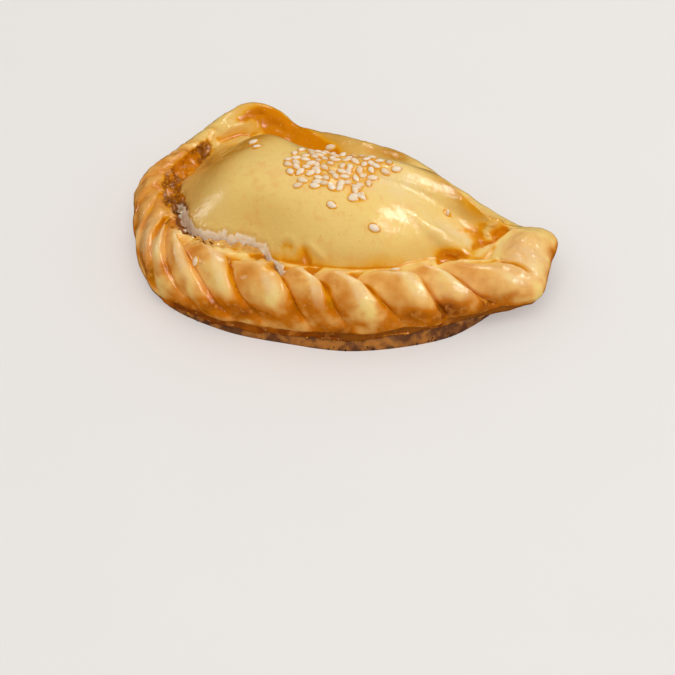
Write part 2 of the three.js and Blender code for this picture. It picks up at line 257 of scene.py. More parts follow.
@dataclass(frozen=True)
class PastryForm:
    """The smooth form of the turnover, without strands or creases, in mm."""

    dome_top: tuple[float, float, float] = (-8.0, -3.0, 29.0)
    dome_foot: tuple[float, float] = (-7.5, -3.5)
    dome_along: float = 47.0
    dome_across: float = 24.5
    dome_turn: float = 15.0
    dome_corner: float = 2.3
    dome_fullness: float = 2.2
    foot_blend: float = 5.0
    spine_left: tuple[float, float] = (-33.0, -7.0)
    spine_right: tuple[float, float] = (17.0, 9.0)
    seam_undercut: float = 1.8
    groove_level: float = 2.3
    outline: tuple[tuple[float, float], ...] = (
        (48.8, 25.0), (45.0, 32.6), (34, 32), (16, 33), (-5, 34.5), (-22, 31), (-36, 27.5), (-45, 27.5),
        (-54, 22.5), (-56.2, 7), (-57.7, -8), (-55.9, -20.6), (-43.8, -34.5), (-27.5, -44.3), (-8, -42.3),
        (9, -34.8), (23, -26.5), (37, -12.5), (44.5, -1.6), (53.4, 12),
    )
    crest_share: Around = Around((
        (0, 0.5), (2.6, 0.5), (4, 0.38), (7.4, 0.3), (8.6, 0.42), (9.6, 0.5), (19, 0.5)))
    rim_width: Around = Around((
        (0, 15.5), (1, 17), (2.5, 13), (7, 13.5), (8.2, 12.5), (9.5, 9.6), (11, 11.9), (12.5, 15.8),
        (14, 15.8), (15, 14), (17, 15.7), (19, 16)))
    crest_height: Around = Around((
        (0, 14.4), (1, 13.5), (1.9, 10.9), (2.6, 11.9), (3.3, 14.3), (4, 14.9), (6, 13.4), (7.4, 15.2),
        (8.6, 15.8), (10, 14.5), (13, 17), (15.5, 18), (19, 15)))
    crest_ease: Around = Around((
        (0, 1.9), (0.6, 1.7), (1.4, 1.1), (2.2, 0.9), (3.2, 0.9), (4.1, 1.9), (5, 2), (15, 2)))
    valley_height: Around = Around((
        (0, 12.5), (0.9, 13.6), (1.5, 16.2), (2.3, 19.8), (3.0, 21.8), (3.6, 19), (4.2, 14), (5.2, 12),
        (8.6, 13), (10, 11), (13, 14.5), (16, 16), (19, 13)))
    reach_height: Around = Around(((0, 10), (3, 7), (7, 10), (10, 7.5), (16, 9.5), (18.9, 8.8)))
    seam_height: Around = Around((
        (0, 7.5), (3, 3.5), (7, 4.5), (10, 3), (12, 1.9), (14, 2.6), (16, 3.4), (17.5, 5.2), (19, 6.3)))
    base_inset: Around = Around((
        (0, 14), (1, 15), (2, 9), (4, 5), (7, 8), (9.5, 3), (12, 3.3), (14, 1.5), (16, 0.2), (17, 0.9),
        (18, 3.2), (19, 11)))
    groove_lean: Around = Around((
        (0, 0.3), (4, 0), (8, 0.3), (10, 0.35), (11, 0.5), (12.8, 0.8), (14, 0.65), (15.5, 0.45),
        (17, 0.35), (18, 0.5)))
    swellings: tuple[Oval, ...] = (
        Oval(-47, 22, 7, 5, 20, 0.9),
        Oval(-41, 17, 6, 4, -20, -1.6),
        Oval(25, 13, 5, 3, 35, -0.6),
        Oval(43, 22, 7, 5, 60, 1.6),
        Oval(8, 22, 12, 5, -8, 1.6),
        Oval(0, -10, 16, 8, 20, 1.2),
        Oval(-31, 5.5, 10, 6, 20, 3.2),
        Oval(-44, 6, 6, 5, 40, 0.6),
        Oval(5, 15, 12, 6, 10, 2.4),
        Oval(26, 17, 4.5, 3, 15, -0.5),
        Oval(28, 24.5, 9, 3.2, 8, 0.9),
        Oval(26.5, 19.5, 6, 3, 10, 0.8),
    )

    @property
    def places(self) -> int:
        """Number of places once round the rim."""
        return len(self.outline)

    def edge(self, place: np.ndarray) -> np.ndarray:
        """The outline in plan: a closed uniform Catmull-Rom curve through the outline points.

        Args:
            place: Places round the rim.

        Returns:
            Plan points in mm, with x, y on a new last axis.
        """
        points = np.array(self.outline, float)
        place = np.mod(place, self.places)
        start = np.floor(place).astype(int)
        f = (place - start)[..., None]
        before, here, there, after = (points[(start + k) % self.places] for k in (-1, 0, 1, 2))
        line = 2.0 * here + (there - before) * f
        bend = (2.0 * before - 5.0 * here + 4.0 * there - after) * f ** 2
        twist = (3.0 * here - before - 3.0 * there + after) * f ** 3
        return 0.5 * (line + bend + twist)

    def inward(self, edge: np.ndarray) -> np.ndarray:
        """Unit plan directions from outline points to the nearest point of the filling's spine."""
        left, right = np.array(self.spine_left), np.array(self.spine_right)
        run = right - left
        share = np.clip((edge - left) @ run / (run @ run), 0.0, 1.0)
        return unit(left + share[..., None] * run - edge)

    def dome_share(self, x: np.ndarray, y: np.ndarray, level: np.ndarray) -> np.ndarray:
        """One minus a power of the distance in a rounded oval, which gives way to the valley line.

        Args:
            x: Plan positions in mm.
            y: Plan positions in mm.
            level: Section levels of the same points, from 0 to 1.

        Returns:
            0 at the dome's foot to 1 at its top.
        """
        along, across = turned(x - self.dome_foot[0], y - self.dome_foot[1], self.dome_turn)
        along, across = np.abs(along) / self.dome_along, np.abs(across) / self.dome_across
        oval = (along ** self.dome_corner + across ** self.dome_corner) ** (1.0 / self.dome_corner)
        weight = np.clip(level, 0.0, 1.0) ** self.foot_blend
        distance = oval + (np.maximum(oval, 1.0) - oval) * weight
        return np.maximum(0.0, 1.0 - distance ** self.dome_fullness)

    def place_of(self, column: np.ndarray, level: np.ndarray) -> np.ndarray:
        """The place where a column of the grid stands at a level: it leans along with the grooves."""
        leaning = band(level, *LEAN_LEVELS)
        return column + self.groove_lean(column) * (level - self.groove_level) * leaning

    def point(self, column: np.ndarray, level: np.ndarray) -> np.ndarray:
        """Points of the smooth skin.

        Inside the valley the plan point runs straight from the dome's top to the valley, and its height is
        the valley's height blended towards the top's. The rim's section is a power of a sine up to the
        crest, a quarter of an ellipse out to the widest reach and another one in to the seam. The wall
        below the seam runs in to the base's edge, and the base runs flat to its middle.

        Args:
            column: Columns of the grid, as places at the groove level.
            level: Section levels from 0 to 6, of a shape that fits the columns'.

        Returns:
            Points in mm, with x, y, z on a new last axis.
        """
        column, level = np.broadcast_arrays(np.asarray(column, float), np.asarray(level, float))
        place = self.place_of(column, level)
        edge = self.edge(place)
        inward = self.inward(edge)
        width, crest = self.rim_width(place), self.crest_height(place)
        valley, reach = self.valley_height(place), self.reach_height(place)
        share = self.crest_share(place)
        seam, inset = self.seam_height(place), self.base_inset(place)
        top = np.array(self.dome_top)
        quarter = 0.5 * math.pi
        f = [np.clip(level - start, 0.0, 1.0) for start in range(6)]
        undercut = self.seam_undercut
        depth = np.select(
            [level <= 1, level <= 2, level <= 3, level <= 4],
            [width, width * (1 - (1 - share) * f[1]), width * share * (1 - np.sin(f[2] * quarter)),
             undercut * (1 - np.cos(f[3] * quarter))],
            undercut + (inset - undercut) * f[4] ** 0.8)
        plan = edge + inward * depth[..., None]
        centre = np.select([level <= 1, level > 5], [1.0 - f[0], f[5]], 0.0)[..., None]
        plan = plan + (top[:2] - plan) * centre
        dome = self.dome_share(plan[..., 0], plan[..., 1], level)
        height = np.select(
            [level <= 1, level <= 2, level <= 3, level <= 4],
            [valley + (top[2] - valley) * dome,
             valley + (crest - valley) * np.sin(f[1] * quarter) ** self.crest_ease(place),
             reach + (crest - reach) * np.cos(f[2] * quarter),
             reach - (reach - seam) * np.sin(f[3] * quarter)],
            seam * (1 - f[4] ** 1.5))
        height = height + ovals_at(self.swellings, plan[..., 0], plan[..., 1]) * (1.0 - rise(level, 2.0, 3.0))
        return np.concatenate([plan, height[..., None]], axis=-1)


@dataclass(frozen=True)
class SkinGrid:
    """The grid that the skin is worked out on: columns round the rim and rows down the section."""

    columns: int = 880
    rope_run: tuple[float, float] = (8.0, 19.9)
    fold_density: float = 0.36
    rows: tuple[int, ...] = (34, 22, 26, 13, 10, 4)

    def column_places(self) -> np.ndarray:
        """Places of the columns: evenly spaced in a running sum that grows slower along the fold."""
        fine = np.linspace(0.0, 20.0, 4001)
        along_rope = rise(fine, self.rope_run[0] - 1.0, self.rope_run[0])
        along_rope = np.maximum(along_rope * (1.0 - rise(fine, 20.2, 20.9)), 1.0 - rise(fine, 0.6, 1.6))
        density = self.fold_density + (1.0 - self.fold_density) * along_rope
        total = np.concatenate([[0.0], np.cumsum(0.5 * (density[1:] + density[:-1]))])
        return np.interp(np.arange(self.columns) * total[-1] / self.columns, total, fine)

    def row_levels(self) -> np.ndarray:
        """Levels of the rows, evenly spaced inside each section level but closer near the valley."""
        parts = []
        for section, count in enumerate(self.rows):
            share = np.arange(1, count + 1) / count
            if section == 0:
                share = 1.0 - (1.0 - share) ** 1.35
            if section == len(self.rows) - 1:
                share = share[:-1]
            parts.append(section + share)
        return np.concatenate(parts)


def grid_normals(points: np.ndarray) -> np.ndarray:
    """Unit normals of a closed-round grid: the cross product of its two central differences."""
    round_rim = np.roll(points, -1, axis=1) - np.roll(points, 1, axis=1)
    down_section = np.gradient(points, axis=0)
    return unit(np.cross(down_section, round_rim))


def grid_blur(values: np.ndarray, passes: int) -> np.ndarray:
    """Values of a closed-round grid averaged with their four neighbours, again and again.

    Args:
        values: Array of rows, columns and any further axes.
        passes: Number of times.

    Returns:
        The smoothed values.
    """
    for _ in range(passes):
        sides = np.roll(values, 1, axis=1) + np.roll(values, -1, axis=1)
        above = np.concatenate([values[:1], values[:-1]])
        below = np.concatenate([values[1:], values[-1:]])
        values = 0.2 * (values + sides + above + below)
    return values


@dataclass(frozen=True)
class Crease:
    """A cut, fold or ridge along a short route on the skin.

    The route is given as (place, level) stops. Depth is positive for a cut and negative for a ridge.
    """

    route: tuple[tuple[float, float], ...]
    depth: float
    width: float
    fade: float = 0.25
    stain: float = 0.0


def route_line(route: tuple[tuple[float, float], ...], form: PastryForm, steps: int = 60) -> np.ndarray:
    """A route as points on the smooth skin, straight between its stops in place and level.

    Args:
        route: The (place, level) stops.
        form: The smooth form that carries the route.
        steps: Number of points.

    Returns:
        Points in mm.
    """
    stops = np.array(route, float)
    at = np.linspace(0.0, 1.0, len(stops))
    share = np.linspace(0.0, 1.0, steps)
    place, level = np.interp(share, at, stops[:, 0]), np.interp(share, at, stops[:, 1])
    column = place - (form.place_of(place, level) - place)
    return form.point(column, level)


@dataclass(frozen=True)
class Reading:
    """How points of the skin lie to a route: which ones, distance, side, share along, and the way left."""

    near: np.ndarray
    distance: np.ndarray
    side: np.ndarray
    share: np.ndarray
    left: np.ndarray


def read_route(line: np.ndarray, points: np.ndarray, normals: np.ndarray, reach: float) -> Reading:
    """Distance, signed side distance and share along a line, for the points that are close to it.

    The nearest point of each straight piece of the line is found, and the nearest piece is kept.

    Args:
        line: Points of the line, in order.
        points: Flat array of skin points.
        normals: Their unit normals.
        reach: Points farther than this from the line's box are left out.

    Returns:
        The reading.
    """
    low, high = line.min(0) - reach, line.max(0) + reach
    near = np.flatnonzero(((points > low) & (points < high)).all(-1))
    spot = points[near]
    start, run = line[:-1], np.diff(line, axis=0)
    offset = spot[:, None] - start[None]
    share = np.clip((offset * run).sum(-1) / (run * run).sum(-1), 0.0, 1.0)
    gap = offset - share[..., None] * run
    distance = np.linalg.norm(gap, axis=-1)
    best = distance.argmin(1)
    rows = np.arange(len(near))
    left = unit(np.cross(normals[near], run[best]))
    side = (gap[rows, best] * left).sum(-1)
    along = (best + share[rows, best]) / len(run)
    return Reading(near, distance[rows, best], side, along, left)


# ---------------------------------------------------------------- strands, creases and tears
@dataclass(frozen=True)
class Groove:
    """One groove of the rope, as (level, column) stops, from where it starts down to where it ends."""

    stops: tuple[tuple[float, float], ...]
    top: float = 1.2
    bottom: float = 2.9
    depth: float = 0.9
    width: float = 0.5
    stain: float = 0.7

    def column_at(self, level: np.ndarray) -> np.ndarray:
        """The groove's column at each level, straight between the stops."""
        levels, columns = np.array(self.stops).T
        return np.interp(level, levels, columns)

    def window(self, level: np.ndarray) -> np.ndarray:
        """1 between the groove's two ends, with soft steps."""
        return band(level, self.top - 0.15, self.top + 0.25, self.bottom - 0.3, self.bottom + 0.1)


@dataclass(frozen=True)
class Rope:
    """The roped rim: rounded strands with a narrow groove between each two."""

    grooves: tuple[Groove, ...] = (
        Groove(((2.0, 8.92),), 1.6, 2.9, 0.6, 0.6, 0.15),
        Groove(((2.0, 9.42),), 1.6, 2.8, 0.2, 0.5, 0.1),
        Groove(((2.0, 9.82),), 1.6, 2.8, 0.25, 0.5, 0.1),
        Groove(((2.0, 10.4),), 1.6, 2.8, 0.25, 0.5, 0.1),
        Groove(((2.0, 10.95),), 1.6, 2.9, 0.2, 0.5, 0.1),
        Groove(((2.0, 11.5),), 1.6, 2.9, 0.2, 0.5, 0.1),
        Groove(((2.0, 12.0),), 1.7, 2.9, 0.3, 0.5, 0.2),
        Groove(((1.73, 12.92), (2.12, 12.7), (2.35, 12.55), (2.8, 12.48), (3.15, 12.32)),
               1.6, 3.4, 1.1, 0.5, 1.0),
        Groove(((2.2, 13.0), (2.8, 12.93)), 2.1, 2.9, 0.5, 0.4, 0.35),
        Groove(((2.0, 13.58), (2.6, 13.53), (3.3, 13.46)), 1.8, 3.4, 0.7, 0.4, 0.35),
        Groove(((1.73, 14.31), (2.12, 14.18), (2.31, 14.11), (2.65, 14.05)), 1.45, 2.85, 1.0, 0.5, 0.9),
        Groove(((1.36, 14.95), (2.38, 14.9), (2.88, 14.83)), 1.2, 3.1, 1.0, 0.5, 0.7),
        Groove(((1.14, 15.21), (1.7, 15.42), (2.12, 15.55), (2.65, 15.52)), 1.1, 2.85, 1.2, 0.55, 1.0),
        Groove(((1.27, 15.93), (1.8, 16.1), (2.15, 16.19), (2.42, 16.24), (2.69, 16.3)),
               1.2, 2.85, 1.2, 0.55, 1.0),
        Groove(((1.27, 16.42), (1.64, 16.75), (1.82, 16.91), (2.12, 16.97), (3.0, 17.02)),
               1.2, 3.2, 0.9, 0.5, 0.6),
        Groove(((1.3, 17.25), (1.59, 17.5), (1.82, 17.7), (2.12, 17.83), (3.0, 17.85)),
               1.25, 3.2, 0.9, 0.5, 0.6),
        Groove(((1.3, 19.35), (1.5, 19.28), (1.95, 19.2), (2.31, 19.1)), 1.35, 2.45, 1.0, 0.6, 0.8),
    )
    relief: Around = Around((
        (0, 0.2), (8, 0.2), (9.5, 0.25), (11.5, 0.3), (12.4, 1.3), (14, 2.2), (17, 2.3), (18, 1.6),
        (19, 0.6)))
    uneven: float = 0.2
    seed: int = 11

    def shape_at(self, column: np.ndarray, level: np.ndarray,
                 width: np.ndarray) -> tuple[np.ndarray, np.ndarray, np.ndarray]:
        """Height of the strands off the rim's core, and what the grooves' glaze and baking leave.

        A strand rises fast from the groove on its left and falls off steeply into the one on its right: a
        power of a sine of a power of the share between them. A narrow bell cut lies along each groove. The
        strands fade out towards the valley and the seam.

        Args:
            column: Columns of the grid, rows by columns.
            level: Levels of the grid, of the same shape.
            width: Millimetres to one column, at each point.

        Returns:
            Heights in mm, pooled glaze from 0 to 1, and how far a point lies up a strand's shoulder.
        """
        draw = np.random.default_rng(self.seed)
        rows = level[:, 0]
        lines = np.stack([groove.column_at(rows) for groove in self.grooves])
        which = (column[None] >= lines[:, :, None]).sum(0) - 1
        inside = (which >= 0) & (which < len(self.grooves) - 1)
        left = np.clip(which, 0, len(self.grooves) - 2)
        row = np.broadcast_to(np.arange(len(rows))[:, None], column.shape)
        start, end = lines[left, row], lines[left + 1, row]
        share = np.clip((column - start) / np.maximum(end - start, 0.05), 0.0, 1.0)
        tall = 1.0 + self.uneven * draw.uniform(-1.0, 1.0, len(self.grooves))[left]
        rounded = np.sin(math.pi * share ** 1.65) ** 0.7
        depth = band(level, *STRAND_LEVELS)
        height = np.where(inside, self.relief(column) * tall * (rounded - 0.6) * depth, 0.0)
        ends = band(column, *STRAND_COLUMNS)
        height = height * ends
        shoulder = np.where(inside, bell((share - 0.7) / 0.22) * tall * depth, 0.0) * ends
        stain = np.zeros(column.shape)
        for groove, line in zip(self.grooves, lines):
            gap = (column - line[:, None]) * width
            window = groove.window(level)
            height = height - 1.2 * groove.depth * bell(gap / groove.width) * window
            height = height + 0.28 * groove.depth * bell((gap + 2.6 * groove.width) / 0.9) * window
            pooled = groove.stain * bell((gap + 0.12) / (1.8 * groove.width)) ** 0.8 * window
            stain = np.maximum(stain, pooled)
        return height, stain, shoulder


@dataclass(frozen=True)
class TornFoot:
    """The tear along the dome's foot, where the baked skin has split and shows the dough's cut face.

    The route is the torn edge of the dome's skin. The face drops almost straight from it.
    """

    route: tuple[tuple[float, float], ...] = (
        (11.5, 1.03), (11.9, 1.01), (12.25, 0.975), (12.61, 0.96), (12.95, 0.95), (13.22, 0.94),
        (13.46, 0.91), (13.6, 0.87),
        (13.71, 0.89), (13.86, 0.87), (14.05, 0.87), (14.25, 0.89), (14.4, 0.94), (14.52, 1.0), (14.69, 1.36),
        (14.86, 1.95))
    drop: tuple[float, ...] = (1.8, 2.6, 2.8, 2.7, 2.3, 2.2, 2.6, 2.2, 2.3, 2.3, 2.3, 1.8, 1.5, 1.3, 0.8)
    face: float = 1.25
    upright: float = 0.1
    hollow: float = 1.5
    flap: float = 0.8
    ragged: float = 0.55
    seed: int = 5


@dataclass(frozen=True)
class SeedPlace:
    """Where one seed lies: plan position in mm, turn in degrees, and how far it is tipped up."""

    x: float
    y: float
    turn: float
    tip: float = 0.0


@dataclass
class PastryShape:
    """The finished skin: grid of points with what lies on it, for the mesh and the finish."""

    seeds: tuple[SeedPlace, ...] = ()
    form: PastryForm = field(default_factory=PastryForm)
    grid: SkinGrid = field(default_factory=SkinGrid)
    rope: Rope = field(default_factory=Rope)
    tear: TornFoot = field(default_factory=TornFoot)
    creases: tuple[Crease, ...] = (
        # left ear: the tongue's lower edge, the fold under it and the crease over it
        Crease(((8.75, 1.8), (8.5, 1.5), (8.2, 1.38), (7.85, 1.4), (7.62, 1.5), (7.5, 1.6)), -1.5, 1.9),
        Crease(((8.9, 1.6), (8.6, 1.2), (8.16, 1.03), (7.6, 1.07), (7.2, 1.4)), 1.1, 0.9, stain=0.25),
        Crease(((8.3, 1.5), (7.91, 1.5), (7.7, 1.64), (7.45, 1.75), (7.15, 1.8)), 1.0, 0.8, stain=0.6),
        Crease(((7.3, 1.5), (7.05, 1.6), (6.7, 1.7), (6.2, 1.75), (5.8, 1.6)), 1.0, 1.8, stain=0.4),
        # right ear: the folded edge over the dome, the mouth behind it, and the edge below
        Crease(((21.96, 2.4), (21.86, 2.1), (21.3, 1.3), (20.97, 0.98), (20.51, 0.95), (20.2, 0.96)),
               -0.9, 0.7, fade=0.12),
        Crease(((20.95, 1.6), (20.76, 1.27), (20.49, 1.02), (20.2, 0.98)), 1.5, 0.9, fade=0.2, stain=0.8),
        Crease(((20.7, 1.8), (20.45, 1.45), (20.08, 1.12), (19.73, 0.98), (19.35, 0.94), (18.97, 0.94)),
               -0.7, 0.6, fade=0.15),
        Crease(((20.6, 1.5), (20.2, 1.1), (19.85, 0.94), (19.45, 0.9), (19.0, 0.9)), 0.9, 0.55, stain=0.75),
        Crease(((18.0, 1.4), (18.3, 1.22), (18.81, 1.1), (19.05, 1.25), (19.15, 1.4)), -0.6, 0.8),
        Crease(((18.2, 1.5), (18.6, 1.34), (18.95, 1.32), (19.1, 1.5)), 0.5, 0.45, stain=0.55),
        # the folds that the dome's right end slopes down in
        Crease(((17.7, 0.78), (18.57, 0.75), (19.71, 0.75), (20.9, 0.85)), -0.5, 1.8, fade=0.35),
        Crease(((18.2, 0.87), (18.6, 0.84), (19.02, 0.82), (19.6, 0.83), (20.6, 0.92)), -0.4, 1.3, fade=0.3),
        Crease(((17.32, 1.3), (17.7, 1.14), (18.06, 1.04), (18.5, 0.96), (18.9, 0.92)), 1.0, 0.7, stain=0.9),
        # dents and folds in the dome's front foot
        Crease(((14.87, 0.84), (14.94, 0.92), (15.07, 1.07)), 0.7, 0.8, fade=0.4, stain=0.4),
        Crease(((14.93, 0.84), (15.1, 0.89), (15.33, 0.97)), -0.45, 0.7, fade=0.3),
        Crease(((14.42, 0.89), (14.6, 0.83), (14.7, 0.83), (14.82, 0.89)), -0.3, 0.6, fade=0.3),
        Crease(((14.5, 0.92), (14.65, 0.87), (14.78, 0.91)), 0.3, 0.9, fade=0.3, stain=0.2),
        Crease(((14.1, 1.1), (14.31, 1.12), (14.52, 1.14)), 0.6, 0.4, stain=0.8),
        # faint wrinkles high on the left of the dome
        Crease(((9.5, 0.62), (9.2, 0.55), (8.9, 0.47)), 0.35, 0.6, stain=0.12),
        Crease(((10.37, 0.74), (9.77, 0.66), (9.32, 0.58)), 0.35, 0.7, stain=0.12),
        Crease(((9.9, 0.86), (9.4, 0.78), (8.9, 0.72)), 0.4, 1.0),
        # the valley along the left rim, and the pit under the tear
        Crease(((9.2, 1.4), (9.8, 1.38), (10.3, 1.32), (10.9, 1.28), (11.45, 1.2), (11.9, 1.08)), 1.2, 1.6,
               fade=0.1),
        Crease(((12.0, 1.04), (12.5, 1.1), (12.95, 1.12), (13.35, 1.08)), 1.7, 1.5, fade=0.2),
    )
    # Darker gold on the dome: partly baked tan, partly painted shade.
    tan_and_shade: tuple[Oval, ...] = (
        Oval(-37, -6, 7, 9, 0, 0.95), Oval(-33, -16, 6, 7, 30, 0.4), Oval(-34, 2, 9, 5, 20, 1.0),
        Oval(24, 21, 5, 4, 15, 0.7), Oval(28, 25, 6, 3, 20, 0.5), Oval(-4.7, 29, 4, 3, 0, 1.0),
        Oval(-25, 22, 8, 3, 0, 0.9), Oval(-26, 27, 14, 4, -5, 0.7), Oval(-10, 29, 8, 3, 0, 0.5),
        Oval(-40, 0, 7, 7, 0, 0.6), Oval(27, 8, 4, 4, 40, 0.3), Oval(-12, -20, 12, 4, 10, 0.3),
        Oval(-49, 18, 7, 9, 0, 0.4), Oval(18, 19, 6, 4, 20, 0.35),
    )
    pools: tuple[Oval, ...] = (
        Oval(-43, 21.6, 4.5, 3, 5, 0.8), Oval(-36, 21.3, 6, 3.8, 5, 1.4), Oval(-29, 20.5, 6, 3.4, 0, 1.2),
        Oval(-21, 20.5, 6, 3, 5, 0.9), Oval(30, 5, 4.5, 1.5, 45, 0.8), Oval(30.5, 16, 3, 2.2, 60, 0.6),
        Oval(31, 24, 6, 1.8, 40, 0.5), Oval(25, 20.5, 4, 2, 20, 0.35),
        Oval(-48, 20, 8, 6, 0, 0.26), Oval(-53, 2, 5, 14, 0, 0.12), Oval(3.5, -21.5, 7, 2.6, 14, 0.32),
        Oval(-5, -28, 4, 2, 20, 0.4),
        Oval(20, -10.5, 9, 2.2, 42, 0.3), Oval(0, -30, 2.5, 3, -30, 0.6),
        Oval(-12, -32, 2, 4, -15, 0.3),
    )
    # Pale glaze patches where highlights fall on the dome, the ears and the rope: painted highlight.
    painted_highlights: tuple[Oval, ...] = (
        Oval(10, 8, 8, 6, 20, 0.8), Oval(-6, -4, 14, 7, 15, 0.4), Oval(29, 12, 9, 3, 40, 1.0),
        Oval(47, 16, 7, 8, 0, 0.8), Oval(38, -4, 7, 4, 50, 0.3),
        Oval(-35, -38, 8, 4, -35, 0.5),
    )
    wrinkled: tuple[Oval, ...] = (
        Oval(-29, -19, 9, 8, 20, 1.0), Oval(13, 10, 10, 7, 20, 1.0), Oval(29, 12, 8, 5, 40, 0.8),
        Oval(46, 20, 8, 8, 0, 0.6), Oval(-51, 2, 6, 18, 0, 0.7), Oval(-35, -35, 12, 6, -30, 0.4),
    )
    # Hollows over the seam: dented, and darkened by hard baking and painted shade.
    seam_hollows: tuple[Oval, ...] = (
        Oval(-2.1, -40.2, 4.5, 2.6, 15, 0.6), Oval(9.3, -34.6, 3.5, 2.6, 30, 0.6),
        Oval(15.5, -31.2, 3.5, 2.6, 35, 0.4), Oval(20.4, -28.4, 3.4, 2.4, 40, 0.9),
        Oval(29.1, -20.9, 3, 2.4, 45, 0.35), Oval(32.0, -17.8, 3.5, 2.2, 50, 0.6),
        Oval(40.8, -7.3, 5, 2.2, 55, 0.9), Oval(47.7, 2.4, 4.5, 2.2, 60, 0.9),
    )
    points: np.ndarray = field(init=False)
    normals: np.ndarray = field(init=False)
    marks: dict[str, np.ndarray] = field(init=False, default_factory=dict)

    def build(self) -> None:
        """Works out the points and marks, from the smooth form down to the finest grain."""
        column = self.grid.column_places()[None, :]
        level = self.grid.row_levels()[:, None]
        column, level = np.broadcast_arrays(column, level)
        place = self.form.place_of(column, level)
        core = self.form.point(column, level)
        outward = grid_normals(core)
        gaps = np.mod(np.roll(column, -1, axis=1) - np.roll(column, 1, axis=1), self.form.places)
        width = np.linalg.norm(np.roll(core, -1, axis=1) - np.roll(core, 1, axis=1), axis=-1) / gaps
        strands, stain, shoulder = self.rope.shape_at(column, level, width)
        points = core + outward * strands[..., None]
        points = self.add_seam_ledge(points, outward, place, level)
        seam_hollow = ovals_at(self.seam_hollows, core[..., 0], core[..., 1])
        seam_hollow = seam_hollow * band(level, *SEAM_HOLLOW_LEVELS)
        points = points - outward * 0.8 * seam_hollow[..., None]
        normals = grid_normals(points)
        points = points + normals * self.lumps(core, place, level)[..., None]
        points, creased = self.cut_creases(points, core, outward)
        points, torn = self.open_tear(points, core, outward)
        blister, dark_between_blisters = self.blisters(core, place, level)
        points = points + grid_normals(points) * blister[..., None]
        points[..., 2] = np.where(level >= 5.0, 0.0, np.maximum(points[..., 2], 0.02))
        self.points = points
        self.normals = grid_normals(points)
        stain = np.maximum(stain, creased)
        self.marks = self.read_marks(core, place, level, torn, stain, seam_hollow, shoulder, dark_between_blisters)

    def add_seam_ledge(self, points: np.ndarray, outward: np.ndarray, place: np.ndarray,
                       level: np.ndarray) -> np.ndarray:
        """A narrow ledge of set glaze along the seam, as a bell over the levels, uneven round the rim."""
        grain = Grain(LEDGE_SEED)
        run = band(place, *LEDGE_PLACES)
        height = 0.75 + 0.5 * grain(points, 4.0, 3)
        above = -0.75 * bell((level - 3.66) / 0.13) * run
        ledge = height * bell((level - 3.93) / 0.12) * run
        under = -0.6 * bell((level - 4.35) / 0.3) * run
        return points + outward * (above + ledge + under)[..., None]

    def lumps(self, core: np.ndarray, place: np.ndarray, level: np.ndarray) -> np.ndarray:
        """Uneven handwork and baking: wide soft noise, stronger on the rope than on the dome."""
        wide, small = Grain(WIDE_SEED), Grain(SMALL_SEED)
        rope = band(level, *ROPE_LEVELS)
        beads = band(place, *BEADED_PLACES) * rise(level, 1.2, 1.7)
        beads = beads * (1.0 - rise(level, 2.6, 3.2))
        dome = 1.0 - rise(level, 0.6, 1.0)
        height = (0.4 * wide(core, 9.0, 2) + 0.16 * small(core, 3.0, 3)) * rope
        height = height + 0.45 * small(core + 77.0, 3.4, 2) * beads
        height = height + (0.25 * wide(core + 31.0, 13.0, 2) + 0.05 * small(core, 2.4, 2)) * dome
        wall = band(level, *WALL_LEVELS)
        return height + 0.3 * small(core, 2.5, 3) * wall

    def cut_creases(self, points: np.ndarray, core: np.ndarray,
                    outward: np.ndarray) -> tuple[np.ndarray, np.ndarray]:
        """Every crease's bell-shaped cut, and the glaze that pools in it.

        Args:
            points: The skin so far.
            core: The smooth skin that the routes lie on.
            outward: Its normals.

        Returns:
            The skin with the creases, and pooled glaze from 0 to 1.
        """
        flat, flat_normals = core.reshape(-1, 3), outward.reshape(-1, 3)
        height, stain = np.zeros(len(flat)), np.zeros(len(flat))
        for crease in self.creases:
            reach = 3.0 * max(crease.width, CREASE_LEAST_REACH)
            reading = read_route(route_line(crease.route, self.form), flat, flat_normals, reach)
            ends = band(reading.share, 0.0, crease.fade, 1.0 - crease.fade, 1.0)
            height[reading.near] += -crease.depth * bell(reading.distance / crease.width) * ends
            pooled = crease.stain * bell(reading.distance / (1.9 * crease.width)) * ends
            stain[reading.near] = np.maximum(stain[reading.near], pooled)
        shape = points.shape[:2]
        return points + outward * height.reshape(shape)[..., None], stain.reshape(shape)

